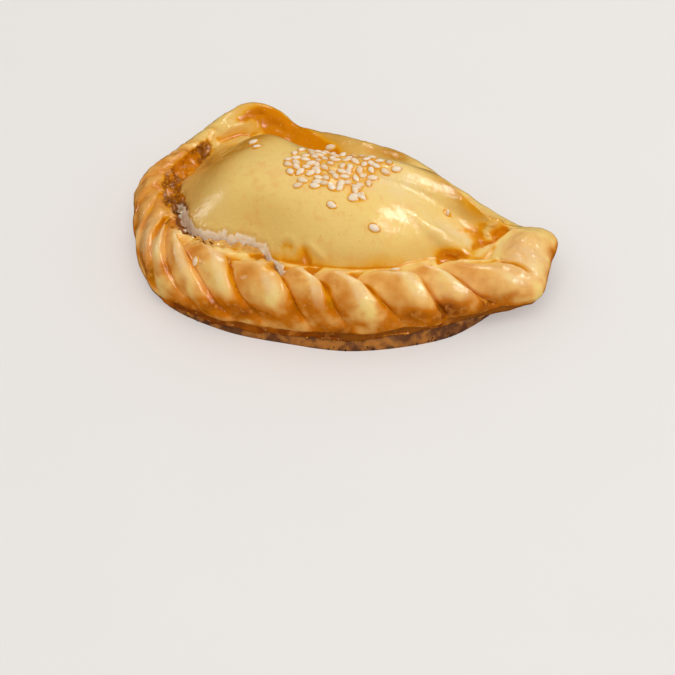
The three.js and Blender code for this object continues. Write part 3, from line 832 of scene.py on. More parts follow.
    def open_tear(self, points: np.ndarray, core: np.ndarray,
                  outward: np.ndarray) -> tuple[np.ndarray, dict[str, np.ndarray]]:
        """The tear: the dome's torn edge, an upright face of dough, a hollow, and the rope's ragged flap.

        The distance from the torn edge, made ragged by noise, is 0 at the edge and grows towards the rope.
        Over the face's width the skin drops in a straight line while it is drawn back under the edge, so
        that the face stands upright. Past the face it is let go again, through a hollow, up to the flap.

        Args:
            points: The skin so far.
            core: The smooth skin that the route lies on.
            outward: Its normals.

        Returns:
            The skin with the tear, and how much of each point is bare dough, hollow or flap.
        """
        tear = self.tear
        line = route_line(tear.route, self.form, 90)
        flat, flat_normals = core.reshape(-1, 3), outward.reshape(-1, 3)
        reading = read_route(line, flat, flat_normals, 7.0)
        spot = flat[reading.near]
        grain = Grain(tear.seed)
        ends = band(reading.share, *TORN_SHARES)
        away = -reading.side + tear.ragged * grain(spot, 2.4, 3)
        at = np.linspace(0.0, 1.0, len(tear.drop))
        drop = np.interp(reading.share, at, tear.drop) * ends
        face = tear.face
        close = 1.0 - rise(reading.distance, 4.5, 6.5)
        on_face = np.clip(away / face, 0.0, 1.0)
        let_go = 1.0 - rise(away, face + 0.2, face + 3.4)
        drawn = tear.upright * face * on_face * let_go * ends * close
        back_up = 1.0 - rise(away, face + 0.1, face + 1.1)
        height = -drop * on_face * back_up
        height = height - tear.hollow * bell((away - face - 0.35) / 0.5) * ends
        curled = bell((away + 0.6) / 0.7) * ends * (away < 0)
        height = height + (0.25 + 0.3 * grain(spot + 20.0, 1.6, 2)) * curled
        flap = bell((away - face - 1.5) / 0.8) * ends * close
        height = height + tear.flap * (0.5 + 1.0 * grain(spot + 40.0, 1.0, 3)) * flap
        height = height + 0.22 * grain(spot, 0.9, 2) * on_face * back_up * ends
        plan_left = reading.left * np.array([1.0, 1.0, 0.0])
        change = unit(plan_left) * drawn[:, None]
        change[:, 2] += height * close
        total = np.zeros_like(flat)
        total[reading.near] = change
        bare = rise(away, 0.02, 0.22) * (1.0 - rise(away, face - 0.1, face + 0.25)) * ends
        values = {"bare": bare, "hollow": bell((away - face - 0.5) / 0.7) * ends, "flap": flap}
        marks = {}
        for name, value in values.items():
            marks[name] = np.zeros(len(flat))
            marks[name][reading.near] = value * (reading.distance < 5.0)
        shape = points.shape[:2]
        marks = {name: value.reshape(shape) for name, value in marks.items()}
        return points + total.reshape(points.shape), marks

    def blisters(self, core: np.ndarray, place: np.ndarray,
                 level: np.ndarray) -> tuple[np.ndarray, np.ndarray]:
        """Round blisters of all sizes along the left inner rim, a few on the ears, and the deep hole.

        A blister is a dome over a scattered point: the square root of one minus its distance squared.

        Args:
            core: The smooth skin.
            place: Places of the grid.
            level: Levels of the grid.

        Returns:
            Heights in mm, and how much darker the skin is between the blisters, from 0 to 1.
        """
        rough = Grain(ROUGH_SEED)
        warped = core + 0.7 * np.stack([rough(core + k * 17.0, 2.6, 2) for k in range(3)], -1)
        distance, number = Cells(BLISTER_SEED)(warped, 2.3)
        small, small_number = Cells(GRIT_SEED)(warped, 1.2)
        zone = band(place, *BLISTERED_PLACES)
        zone = zone * band(level, *BLISTERED_LEVELS)
        knob = np.sqrt(np.maximum(0.0, 1.0 - (distance / 0.6) ** 2)) * rise(number, 0.15, 0.9)
        grit = np.sqrt(np.maximum(0.0, 1.0 - (small / 0.55) ** 2)) * rise(small_number, 0.3, 0.9)
        dark_between_blisters = zone * rise(distance, 0.3, 0.62) * (1.0 - 0.6 * grit)
        height = zone * (1.0 * knob + 0.35 * grit - 0.45 + 0.35 * rough(core, 3.0, 2))
        ears = bell(from_spot(core, BLISTERED_EAR) / 4.5) * (level < 2.6)
        height = height + ears * (0.16 * grit + 0.12 * knob)
        hole = -2.2 * bell(from_spot(core, DEEP_HOLE) / 1.7) * rise(level, 0.92, 1.0)
        return height + hole, dark_between_blisters

    def read_marks(self, core: np.ndarray, place: np.ndarray, level: np.ndarray,
                   torn: dict[str, np.ndarray], stain: np.ndarray, seam_hollow: np.ndarray,
                   shoulder: np.ndarray, dark_between_blisters: np.ndarray) -> dict[str, np.ndarray]:
        """What the finish needs to know at each point.

        pool is gathered glaze, in stained grooves, patches and wherever a point lies under its smoothed
        surroundings. bake grows down the rope's outer wall, with soft noise, and drops a little up the
        strands' shoulders as a painted highlight. The darker gold of the dome is partly baked tan and
        partly painted shade. The darkest spots are burnt crust in the channel and along the seam, darker
        skin between the blisters, and painted shade in the tear's hollow, the pit under it, the deep hole
        and the hollows over the seam. bare is torn dough, dry is the wall and base without glaze. The
        pale glaze patches are painted highlight, and wrinkle is where the glaze set in fine streaks.

        Args:
            core: The smooth skin.
            place: Places of the grid.
            level: Levels of the grid.
            torn: What open_tear gives.
            stain: Glaze in the grooves and creases.
            seam_hollow: Darkening in the hollows over the seam, both hard baking and painted shade.
            shoulder: How far points lie up the strands' shoulders.
            dark_between_blisters: How much darker the skin is between the blisters.

        Returns:
            Arrays between 0 and 1, by name.
        """
        soft, fine = Grain(SOFT_SEED), Grain(FINE_SEED)
        x, y = core[..., 0], core[..., 1]
        near = ((grid_blur(self.points, 10) - self.points) * self.normals).sum(-1)
        cavity = rise(near, 0.03, 0.3)
        upper = 1.0 - rise(level, 2.4, 3.0)
        pool = np.maximum(stain, 0.45 * cavity)
        pool = pool + ovals_at(self.pools, x, y) * upper
        foot = bell((level - 1.03) / 0.07) * (1.0 - band(place, *BARE_FOOT_LEFT))
        foot = foot * (1.0 - band(place, *BARE_FOOT_FOLD))
        pool = pool + 0.5 * foot * (0.6 + 0.8 * soft(core, 5.0, 2))
        for seed in self.seeds:
            pool = pool + 0.3 * bell(from_spot(core, (seed.x, seed.y)) / 1.7) * upper
        # Darker gold: partly baked tan, partly painted shade; also darker along the dome's foot.
        tan_and_shade = ovals_at(self.tan_and_shade, x, y) * upper
        tan_and_shade = tan_and_shade + 0.3 * band(level, *DARKER_FOOT_LEVELS)
        rope_side = np.maximum(rise(place, 8.8, 10.2), 1.0 - rise(place, 0.0, 1.0))
        left_rim = band(place, *LEFT_RIM_PLACES) * rise(level, 0.97, 1.05)
        bake = 0.29 * rise(level, 1.15, 1.7) * rope_side * (1.0 + 0.3 * left_rim)
        bake = bake + 0.12 * rise(level, 2.45, 3.2)
        # Paler up the strands' shoulders: painted highlight.
        bake = bake + 0.3 * rise(level, 3.3, 3.8) + 0.3 * bell((level - 3.8) / 0.2) - 0.1 * shoulder
        bake = bake + (0.16 + 0.28 * rise(level, 2.3, 3.0)) * soft(core, 5.0, 3) * rise(level, 1.0, 1.5)
        bake = bake - 0.14 * bell(from_spot(core, PALE_EAR) / 8.0) * upper
        low = rise(level, 2.05, 2.6) * rope_side
        bake = bake + 0.4 * stain * low
        pool = pool * (1.0 - 0.65 * low)
        # Darker between the blisters.
        char_and_shade = 0.8 * dark_between_blisters * rise(soft(core + 3, 5.0, 2), -0.6, 0.3) * (1.0 - rise(level, 1.4, 2.0))
        channel = band(place, *CHANNEL_PLACES)
        channel = channel * band(level, *CHANNEL_LEVELS)
        char_and_shade = char_and_shade + channel * (0.2 + 0.5 * rise(fine(core + 9, 2.4, 2), -0.2, 0.5))
        pool = pool + 0.75 * channel
        # Painted shade: the deep hole, the pit under the tear and the hollows over the seam are darkened.
        char_and_shade = char_and_shade + 1.2 * bell(from_spot(core, DEEP_HOLE) / 2.3) * rise(level, 0.96, 1.02)
        pit = bell((level - 1.14) / 0.2) * band(place, *PIT_PLACES)
        char_and_shade = char_and_shade + 0.75 * pit * rise(fine(core, 3.0, 2), -0.7, 0.1) + 0.35 * seam_hollow
        edge = bell((level - 3.78) / 0.2) * rise(soft(core + 19, 7.0, 2), -1.2, 0.1)
        char_and_shade = char_and_shade + (0.35 + 0.4 * rise(place, 14.5, 16.0)) * edge * rope_side
        # The tear's hollow is darkened as painted shade; the flap's edges are browned.
        char_and_shade = char_and_shade + 1.0 * torn["hollow"] + 0.35 * torn["flap"] * rise(fine(core, 1.5, 2), -0.1, 0.5)
        # Pale glaze patches and the strands' shoulders: painted highlight.
        painted_highlight = ovals_at(self.painted_highlights, x, y) * upper
        ridge = rise(shoulder, 0.45, 0.95) * rope_side * rise(place, 12.0, 13.0)
        painted_highlight = painted_highlight + 0.7 * ridge * (1.0 - rise(level, 2.3, 2.75))
        dry = rise(level, 3.98, 4.16)
        keep = 1.0 - dry
        return {
            "pool": np.clip(pool * keep, 0.0, 1.0),
            # The hollows over the seam are browned: hard baking and painted shade.
            "bake": np.clip(bake + 0.3 * seam_hollow + 0.25 * torn["flap"], 0.0, 1.0),
            "tan_and_shade": np.clip(tan_and_shade, 0.0, 1.0),
            "char_and_shade": np.clip(char_and_shade * keep, 0.0, 1.0),
            "bare": np.clip(torn["bare"], 0.0, 1.0),
            "wrinkle": np.clip(ovals_at(self.wrinkled, x, y) * upper, 0.0, 1.0),
            "painted_highlight": np.clip(painted_highlight, 0.0, 1.0),
            "dry": dry,
        }


# ---------------------------------------------------------------- shader building
class Wire:
    """A shader value that Python arithmetic builds nodes from."""

    def __init__(self, bench: "Bench", socket: bpy.types.NodeSocket) -> None:
        """Wraps an output socket of a node on a bench."""
        self.bench = bench
        self.socket = socket

    def __add__(self, other: "Wire | float") -> "Wire":
        """Sum."""
        return self.bench.maths("ADD", self, other)

    __radd__ = __add__

    def __sub__(self, other: "Wire | float") -> "Wire":
        """Difference."""
        return self.bench.maths("SUBTRACT", self, other)

    def __mul__(self, other: "Wire | float") -> "Wire":
        """Product."""
        return self.bench.maths("MULTIPLY", self, other)

    def clamp(self) -> "Wire":
        """The value held between 0 and 1."""
        return self.bench.maths("ADD", self, 0.0, clamp=True)

    def step(self, low: float, high: float) -> "Wire":
        """A smooth step from 0 at the low edge to 1 at the high edge."""
        settings = {"interpolation_type": "SMOOTHSTEP"}
        values = {"Value": self, "From Min": low, "From Max": high}
        return self.bench.node("ShaderNodeMapRange", settings, values)


class Bench:
    """A material's node tree, and the few ways in which nodes are put on it."""

    def __init__(self, name: str) -> None:
        """Makes an empty material with its output node."""
        self.material = bpy.data.materials.new(name)
        self.material.use_nodes = True
        self.tree = self.material.node_tree
        self.tree.nodes.clear()
        self.output = self.tree.nodes.new("ShaderNodeOutputMaterial")

    def place(self, kind: str, settings: dict, values: dict) -> bpy.types.Node:
        """Puts a node on the bench: settings first, then values or links of its inputs.

        Args:
            kind: The node's type.
            settings: Attributes of the node.
            values: Input sockets by name or index, each a number, colour, vector or Wire.

        Returns:
            The node.
        """
        made = self.tree.nodes.new(kind)
        for name, value in settings.items():
            if name == "stops":
                self.set_stops(made, value)
            else:
                setattr(made, name, value)
        for name, value in values.items():
            if isinstance(value, Wire):
                self.tree.links.new(value.socket, made.inputs[name])
            else:
                made.inputs[name].default_value = value
        return made

    @staticmethod
    def set_stops(ramp: bpy.types.Node, stops: tuple) -> None:
        """Sets a ramp's stops from (position, colour) pairs."""
        elements = ramp.color_ramp.elements
        while len(elements) < len(stops):
            elements.new(0.5)
        for element, (position, colour) in zip(elements, stops):
            element.position = position
            element.color = colour

    def node(self, kind: str, settings: dict, values: dict, output: int | str = 0) -> Wire:
        """Puts a node on the bench and gives one of its outputs as a Wire."""
        return Wire(self, self.place(kind, settings, values).outputs[output])

    def maths(self, operation: str, a: "Wire | float", b: "Wire | float", clamp: bool = False) -> Wire:
        """One Math node of two values."""
        return self.node("ShaderNodeMath", {"operation": operation, "use_clamp": clamp}, {0: a, 1: b})

    def mark(self, name: str) -> Wire:
        """A number that lies on the mesh under a name."""
        return self.node("ShaderNodeAttribute", {"attribute_name": name}, {}, "Fac")

    def spots(self, size: float, detail: float = 2.0, distortion: float = 0.0) -> Wire:
        """Noise of a size in mm, in the piece's own coordinates, around 0.5."""
        here = self.node("ShaderNodeTexCoord", {}, {}, "Object")
        values = {"Vector": here, "Scale": 1.0 / (size * MM), "Detail": detail, "Distortion": distortion}
        return self.node("ShaderNodeTexNoise", {}, values, 0)

    def blend(self, first: "Wire | tuple", second: "Wire | tuple", share: "Wire | float") -> Wire:
        """A colour mixed from two by a share."""
        return self.node("ShaderNodeMix", {"data_type": "RGBA"}, {0: share, 6: first, 7: second}, 2)

    def ramp(self, value: Wire, stops: tuple) -> Wire:
        """A colour read off a ramp."""
        return self.node("ShaderNodeValToRGB", {"stops": stops}, {"Fac": value})

    def surface(self, values: dict) -> bpy.types.Material:
        """Finishes the material with one Principled shader."""
        shader = self.place("ShaderNodeBsdfPrincipled", {}, values)
        self.tree.links.new(shader.outputs[0], self.output.inputs["Surface"])
        return self.material

    def bump(self, height: Wire, distance: float, strength: float) -> Wire:
        """A bumped normal from a height of 0 to 1, where 1 stands a distance in mm high."""
        values = {"Height": height, "Distance": distance * MM, "Strength": strength}
        return self.node("ShaderNodeBump", {}, values)


def tint(red: int, green: int, blue: int) -> tuple[float, float, float, float]:
    """A colour as seen, in display values of 0 to 255, made linear."""
    def linear(value: int) -> float:
        """One display value, made linear."""
        share = value / 255.0
        return share / 12.92 if share <= 0.04045 else ((share + 0.055) / 1.055) ** 2.4
    return (linear(red), linear(green), linear(blue), 1.0)


@dataclass(frozen=True)
class CrustFinish:
    """Egg-glazed, baked crust: khaki-golden skin, orange where glaze pooled, brown where it baked hard, with
    painted shade and painted highlight.
    """

    pale: tuple = tint(240, 204, 120)
    golden: tuple = tint(236, 180, 98)
    # darker gold, for baked tan and for painted shade
    tan_and_shade_tint: tuple = tint(194, 130, 22)
    brown: tuple = tint(206, 116, 4)
    dark: tuple = tint(132, 58, 0)
    pooled: tuple = tint(230, 160, 6)
    deep_pool: tuple = tint(206, 116, 0)
    # dark brown, for burnt crust and for painted shade
    char_and_shade_tint: tuple = tint(142, 78, 0)
    # pale tint of the painted highlight
    highlight_tint: tuple = tint(242, 222, 176)
    dough: tuple = tint(255, 242, 216)
    dough_shade: tuple = tint(255, 230, 192)
    dry_wall: tuple = tint(98, 50, 14)
    dry_base: tuple = tint(180, 112, 36)

    def colour(self, bench: Bench, coarse: Wire, mottle: Wire, fleck: Wire) -> Wire:
        """The colour: a baking ramp, then tan with painted shade, specks, painted highlight, pooled glaze,
        char with painted shade, bare dough and the dry wall.

        Args:
            bench: The material's bench.
            coarse: Noise about 9 mm wide.
            mottle: Noise about 2 mm wide.
            fleck: Noise about half a millimetre wide.

        Returns:
            The colour.
        """
        heat = bench.mark("bake") + (coarse - 0.5) * 0.3 + (mottle - 0.5) * 0.22
        colour = bench.ramp(heat.clamp(), (
            (0.0, self.pale), (0.17, self.golden), (0.5, self.brown), (1.0, self.dark)))
        # Darker gold: baked tan and painted shade.
        colour = bench.blend(colour, self.tan_and_shade_tint, bench.mark("tan_and_shade") * 0.9)
        colour = bench.blend(colour, self.golden, mottle.step(0.5, 0.75) * 0.45)
        colour = bench.blend(colour, self.brown, fleck.step(0.64, 0.74) * 0.4)
        colour = bench.blend(colour, self.pale, bench.spots(1.1, 3.0).step(0.62, 0.75) * 0.35)
        freckle = bench.spots(2.2, 2.0).step(0.55, 0.66) * (bench.mark("bake") * 2.0).clamp() * 0.55
        colour = bench.blend(colour, self.brown, freckle)
        # Painted highlight: pale glaze where the highlights fall.
        painted_highlight = bench.mark("painted_highlight") * (mottle.step(0.3, 0.6) * 0.35 + 0.25)
        colour = bench.blend(colour, self.highlight_tint, painted_highlight)
        pool = bench.mark("pool") + (mottle - 0.5) * 0.25
        colour = bench.blend(colour, self.pooled, pool.step(0.08, 0.6) * 0.95)
        colour = bench.blend(colour, self.deep_pool, pool.step(0.35, 0.8) * 0.85)
        # Burnt crust, and painted shade in the hollows.
        char_and_shade = bench.mark("char_and_shade") + (fleck - 0.5) * 0.35 + (mottle - 0.5) * 0.3
        colour = bench.blend(colour, self.char_and_shade_tint, char_and_shade.step(0.1, 0.95))
        crumb = bench.blend(self.dough_shade, self.dough, bench.spots(1.0, 4.0).step(0.4, 0.62))
        colour = bench.blend(colour, crumb, bench.mark("bare").step(0.3, 0.6))
        under = bench.blend(self.dry_wall, self.dry_base, (coarse + (mottle - 0.5) * 0.9).step(0.35, 0.7))
        return bench.blend(colour, under, bench.mark("dry") * 0.92)

    def material(self) -> bpy.types.Material:
        """Builds the material.

        Returns:
            The crust material, which reads all the skin's marks off the mesh.
        """
        bench = Bench("crust")
        coarse, mottle, fleck = bench.spots(9.0, 3.0), bench.spots(2.2, 4.0), bench.spots(0.6, 3.0)
        colour = self.colour(bench, coarse, mottle, fleck)
        dull = (bench.mark("bare") + bench.mark("dry")).clamp()
        char_and_shade = bench.mark("char_and_shade")
        rough = 0.14 + (mottle - 0.5) * 0.12 + dull * 0.55 + char_and_shade * 0.15 - bench.mark("pool") * 0.04
        peel, pits = bench.spots(0.7, 3.0), bench.spots(0.32, 2.0)
        crinkle = bench.spots(1.6, 2.0, 0.6)
        streaks = bench.spots(2.2, 3.0, 1.2) * bench.mark("wrinkle") * 1.7
        crusty = (dull + char_and_shade) * bench.spots(0.6, 4.0) * 0.8
        relief = streaks + peel * 0.5 + pits * 0.3 + crinkle * 0.5 + crusty
        return bench.surface({
            "Base Color": colour,
            "Roughness": rough,
            "IOR": 1.5,
            "Specular IOR Level": 0.6,
            "Specular Tint": (1.0, 0.94, 0.86, 1.0),
            "Subsurface Weight": 0.05,
            "Subsurface Radius": (1.0, 0.7, 0.4),
            "Subsurface Scale": 0.001,
            "Normal": bench.bump(relief, 0.12, 1.0),
        })


@dataclass(frozen=True)
class SeedFinish:
    """Hulled sesame: cream white, a little darker at the tip, with a thin coat of glaze."""

    cream: tuple = tint(238, 220, 192)
    toast: tuple = tint(224, 176, 116)

    def material(self) -> bpy.types.Material:
        """Builds the material, which reads off the mesh how toasted a point is."""
        bench = Bench("sesame")
        mottle = bench.spots(0.8, 3.0)
        colour = bench.blend(self.cream, self.toast, (bench.mark("toast") + (mottle - 0.5) * 0.6).clamp())
        return bench.surface({
            "Base Color": colour,
            "Roughness": 0.34 + (mottle - 0.5) * 0.2,
            "IOR": 1.48,
            "Subsurface Weight": 0.25,
            "Subsurface Radius": (1.0, 0.8, 0.5),
            "Subsurface Scale": 0.0006,
            "Coat Weight": 0.3,
            "Coat Roughness": 0.12,
            "Normal": bench.bump(bench.spots(0.3, 2.0), 0.04, 0.7),
        })


@dataclass(frozen=True)
class GlazeFinish:
    """Set egg glaze: amber, darker where it is thick."""

    amber: tuple = tint(234, 168, 40)
    deep: tuple = tint(222, 146, 22)

    def material(self) -> bpy.types.Material:
        """Builds the material."""
        bench = Bench("glaze")
        colour = bench.blend(self.amber, self.deep, bench.spots(1.2, 3.0).step(0.35, 0.65))
        return bench.surface({
            "Base Color": colour,
            "Roughness": 0.16 + bench.spots(0.6, 2.0) * 0.12,
            "IOR": 1.5,
            "Coat Weight": 0.3,
            "Coat Roughness": 0.08,
            "Normal": bench.bump(bench.spots(0.4, 2.0), 0.03, 0.5),
        })


@dataclass(frozen=True)
class CrumbFinish:
    """Burnt crumbs: nearly black brown, matt, with lighter flecks."""

    burnt: tuple = tint(66, 34, 14)
    brown: tuple = tint(128, 76, 34)

    def material(self) -> bpy.types.Material:
        """Builds the material."""
        bench = Bench("burnt_crumb")
        colour = bench.blend(self.burnt, self.brown, bench.spots(0.5, 3.0).step(0.45, 0.7))
        return bench.surface({
            "Base Color": colour,
            "Roughness": 0.6 + bench.spots(0.4, 2.0) * 0.25,
            "Normal": bench.bump(bench.spots(0.25, 3.0), 0.08, 0.9),
        })


# ---------------------------------------------------------------- meshes
def new_piece(name: str, points: np.ndarray, faces: list, material: bpy.types.Material) -> bpy.types.Object:
    """Makes a smooth-shaded mesh object at the origin.

    Args:
        name: The piece's name.
        points: Points in metres.
        faces: Lists of point indices, counter-clockwise seen from outside.
        material: Its finish.

    Returns:
        The object, linked into the scene.
    """
    mesh = bpy.data.meshes.new(name)
    mesh.from_pydata(points.tolist(), [], faces)
    mesh.polygons.foreach_set("use_smooth", np.ones(len(mesh.polygons), bool))
    mesh.materials.append(material)
    mesh.update()
    piece = bpy.data.objects.new(name, mesh)
    bpy.context.scene.collection.objects.link(piece)
    return piece


def add_mark(piece: bpy.types.Object, name: str, values: np.ndarray) -> None:
    """Lays one number on each point of a mesh, under a name that the finish reads."""
    layer = piece.data.attributes.new(name, "FLOAT", "POINT")
    layer.data.foreach_set("value", values.astype(np.float32))


def ring_faces(rows: int, columns: int, first: int = 0) -> np.ndarray:
    """Quads between neighbouring rings of a closed-round grid whose rows run down the outside.

    Args:
        rows: Number of rings.
        columns: Points in a ring.
        first: Index of the first point.

    Returns:
        Array of quads.
    """
    row, column = np.meshgrid(np.arange(rows - 1), np.arange(columns), indexing="ij")
    beside = (column + 1) % columns
    corners = (row * columns + column, (row + 1) * columns + column,
               (row + 1) * columns + beside, row * columns + beside)
    return np.stack([corner.ravel() for corner in corners], -1) + first


def closed_faces(rows: int, columns: int, first: int = 0) -> list:
    """Faces of a grid closed at both ends: its quads, and a fan round each of the two points after it."""
    around = np.arange(columns)
    beside = (around + 1) % columns
    last, poles = (rows - 1) * columns, rows * columns
    near = np.stack([np.full(columns, poles), around, beside], -1)
    far = np.stack([last + around, np.full(columns, poles + 1), last + beside], -1)
    return ring_faces(rows, columns, first).tolist() + (near + first).tolist() + (far + first).tolist()


def laid(normal: Vector) -> Matrix:
    """A turn that points the z axis along a normal."""
    return normal.to_track_quat("Z", "X").to_matrix().to_4x4()


@dataclass
class PastrySkin:
    """The pastry as one closed mesh."""

    shape: PastryShape
    finish: CrustFinish = field(default_factory=CrustFinish)
    shift: np.ndarray = field(init=False)
    piece: bpy.types.Object = field(init=False)

    def build(self) -> bpy.types.Object:
        """Joins the grid's rings, closes both poles and lays the marks on the points.

        Returns:
            The pastry.
        """
        points = self.shape.points
        rows, columns = points.shape[:2]
        low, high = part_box(PASTRY_NODE)
        frame_middle = (np.array(low[:2]) + np.array(high[:2])) / (2.0 * MM)
        flat = points.reshape(-1, 3)
        own_middle = (flat[:, :2].min(0) + flat[:, :2].max(0)) / 2.0
        self.shift = np.append(frame_middle - own_middle, 0.0)
        crown, floor = points[0].mean(0), points[-1].mean(0)
        crown[2] = points[0, :, 2].mean() + 0.02
        everything = np.concatenate([flat, [crown], [floor]]) + self.shift
        faces = closed_faces(rows, columns)
        self.piece = new_piece("pastry_skin", everything * MM, faces, self.finish.material())
        for name, values in self.shape.marks.items():
            ends = [values[0].mean(), values[-1].mean()]
            add_mark(self.piece, name, np.concatenate([values.ravel(), ends]))
        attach(self.piece, "root")
        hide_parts(PASTRY_NODE)
        return self.piece

    def land(self, x: float, y: float) -> tuple[Vector, Vector] | None:
        """Point and normal of the skin right under a plan position in the form's mm."""
        start = Vector(((x + self.shift[0]) * MM, (y + self.shift[1]) * MM, 0.1))
        hit, spot, normal, _ = self.piece.ray_cast(start, Vector((0.0, 0.0, -1.0)))
        return (spot, normal) if hit else None


@dataclass(frozen=True)
class Pebble:
    """A small closed rounded form, for seeds, drops and crumbs: rings round its long axis.

    With v from end to end and u round the section, x is half the length times the cosine of v. The
    section's half sizes are powers of the sine of v, times a taper that shrinks them towards one end.
    """

    length: float
    width: float
    height: float
    around: int = 12
    rings: int = 9
    taper: float = 0.0
    fullness: float = 0.9

    def points(self) -> np.ndarray:
        """Points in mm: the rings, then the two ends."""
        u = np.linspace(0.0, 2.0 * math.pi, self.around, endpoint=False)[None, :]
        v = np.linspace(0.0, math.pi, self.rings + 2)[1:-1, None]
        along = np.cos(v)
        slim = 1.0 - self.taper * rise(along, -0.2, 1.0) ** 1.2
        section = np.sin(v) ** self.fullness * slim
        x = 0.5 * self.length * along * np.ones_like(u)
        y = 0.5 * self.width * section * np.cos(u)
        z = 0.5 * self.height * section * np.sin(u)
        ends = np.array([[0.5 * self.length, 0.0, 0.0], [-0.5 * self.length, 0.0, 0.0]])
        return np.concatenate([np.stack([x, y, z], -1).reshape(-1, 3), ends])

    def faces(self, first: int) -> list:
        """Faces of the form, for points that start at an index: quads between rings, fans at the ends."""
        return closed_faces(self.rings, self.around, first)


@dataclass
class Scatter:
    """Many copies of one small form, joined in one mesh."""

    name: str
    form: Pebble
    material: bpy.types.Material
    slot: str
    points: list = field(default_factory=list)
    faces: list = field(default_factory=list)
    marks: list = field(default_factory=list)

    def add(self, matrix: Matrix, scale: np.ndarray, mark: np.ndarray | None = None,
            rough: np.ndarray | None = None) -> None:
        """Adds one copy.

        Args:
            matrix: Where it lies, in metres.
            scale: Its size as three factors.
            mark: A number for each of its points, or none.
            rough: Offsets in mm for its points, or none.
        """
        first = sum(len(part) for part in self.points)
        own = self.form.points() * scale
        own = own if rough is None else own + rough
        whole = np.array(matrix)
        self.points.append((own * MM) @ whole[:3, :3].T + whole[:3, 3])
        self.faces += self.form.faces(first)
        self.marks.append(np.zeros(len(own)) if mark is None else mark)

    def build(self, mark: str = "") -> bpy.types.Object:
        """Makes the joined piece.

        Args:
            mark: Name of the number that lies on its points, or nothing.

        Returns:
            The piece.
        """
        piece = new_piece(self.name, np.concatenate(self.points), self.faces, self.material)
        if mark:
            add_mark(piece, mark, np.concatenate(self.marks))
        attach(piece, "root")
        return piece


@dataclass(frozen=True)
class SeedPatch:
    """Where the sesame seeds fell: a dense patch on the dome's top and a few strays."""

    outline: tuple[tuple[float, float], ...] = (
        (-12.5, -8), (-15.8, -4), (-17.8, 2.5), (-14, 7), (-8, 10.3), (-1, 11.8), (5, 12.5), (8.5, 11),
        (7, 7), (5.8, 1), (8.6, -4), (7.2, -6.6), (4.2, -4.5), (0.9, -7.4), (-6.3, -9.6))
    count: int = 74
    spacing: float = 1.9
    seed: int = 17
    strays: tuple[SeedPlace, ...] = (
        SeedPlace(3.7, -10.3, 5), SeedPlace(15.0, -7.3, 18), SeedPlace(6.8, -5.6, 38),
        SeedPlace(5.6, -3.1, -44), SeedPlace(8.0, -3.4, -45, 30), SeedPlace(22.4, 14.5, 20, 50),
        SeedPlace(24.7, -11.0, 38), SeedPlace(-30.4, -0.2, 68, 12), SeedPlace(-27.8, -1.9, 62, 10),
        SeedPlace(-18.2, -38.4, 107), SeedPlace(-22.5, 22.6, 38), SeedPlace(-7.0, -10.6, 48),
    )

    def inside(self, spot: np.ndarray) -> bool:
        """Whether a plan point lies in the outline: a ray to the right crosses it an odd number of times."""
        here = np.array(self.outline)
        there = np.roll(here, -1, axis=0)
        spans = (here[:, 1] > spot[1]) != (there[:, 1] > spot[1])
        run = there[spans] - here[spans]
        crossing = here[spans, 0] + run[:, 0] * (spot[1] - here[spans, 1]) / run[:, 1]
        return bool((crossing > spot[0]).sum() % 2)

    def places(self) -> tuple[SeedPlace, ...]:
        """The strays, and the patch filled by throwing seeds that keep a spacing from one another."""
        draw = np.random.default_rng(self.seed)
        low, high = np.min(self.outline, axis=0), np.max(self.outline, axis=0)
        spots: list[np.ndarray] = []
        for _ in range(20000):
            spot = draw.uniform(low, high)
            gaps = [np.linalg.norm(spot - other) for other in spots]
            if self.inside(spot) and (not gaps or min(gaps) > self.spacing * draw.uniform(0.75, 1.25)):
                spots.append(spot)
            if len(spots) == self.count:
                break
        turns, tips = draw.uniform(-90.0, 90.0, len(spots)), draw.normal(0.0, 9.0, len(spots))
        return tuple(SeedPlace(*spot, turn, tip) for spot, turn, tip in zip(spots, turns, tips)) + self.strays


@dataclass
class SesameSeeds:
    """Sesame seeds laid on the skin, each in its small rim of set glaze."""

    skin: PastrySkin
    places: tuple[SeedPlace, ...]
    form: Pebble = Pebble(2.75, 1.75, 0.95, 14, 10, 0.34)
    rim: Pebble = Pebble(3.4, 2.45, 0.55, 14, 7, 0.3)
    sunk: float = 0.2
    seed: int = 18
    finish: SeedFinish = field(default_factory=SeedFinish)
    glaze: GlazeFinish = field(default_factory=GlazeFinish)

    def build(self) -> tuple[bpy.types.Object, bpy.types.Object]:
        """Lays every seed along the skin at its place.

        Returns:
            The seeds and their glaze.
        """
        seeds = Scatter("sesame_seeds", self.form, self.finish.material(), "sesame")
        glaze = Scatter("seed_glaze", self.rim, self.glaze.material(), "glaze")
        draw = np.random.default_rng(self.seed)
        share = self.form.points()[:, 0] / self.form.length + 0.5
        for place in self.places:
            size, brown = draw.uniform(0.86, 1.06), draw.uniform(-0.1, 0.4)
            landed = self.skin.land(place.x, place.y)
            if landed is None:
                continue
            spot, normal = landed
            lie = laid(normal)
            flat = Matrix.Rotation(math.atan2(lie[1][0], lie[0][0]), 4, "Z").inverted()
            turn = Matrix.Rotation(math.radians(place.turn), 4, "Z")
            tip = Matrix.Rotation(math.radians(place.tip), 4, "Y")
            at = Matrix.Translation(spot + normal * (self.sunk * self.form.height * MM))
            toast = np.clip(brown + 0.6 * rise(share, 0.75, 1.0), 0.0, 1.0)
            seeds.add(at @ lie @ flat @ turn @ tip, np.full(3, size), toast)
            glaze.add(Matrix.Translation(spot) @ lie @ flat @ turn, np.array([size, size, 1.0]))
        return seeds.build("toast"), glaze.build()


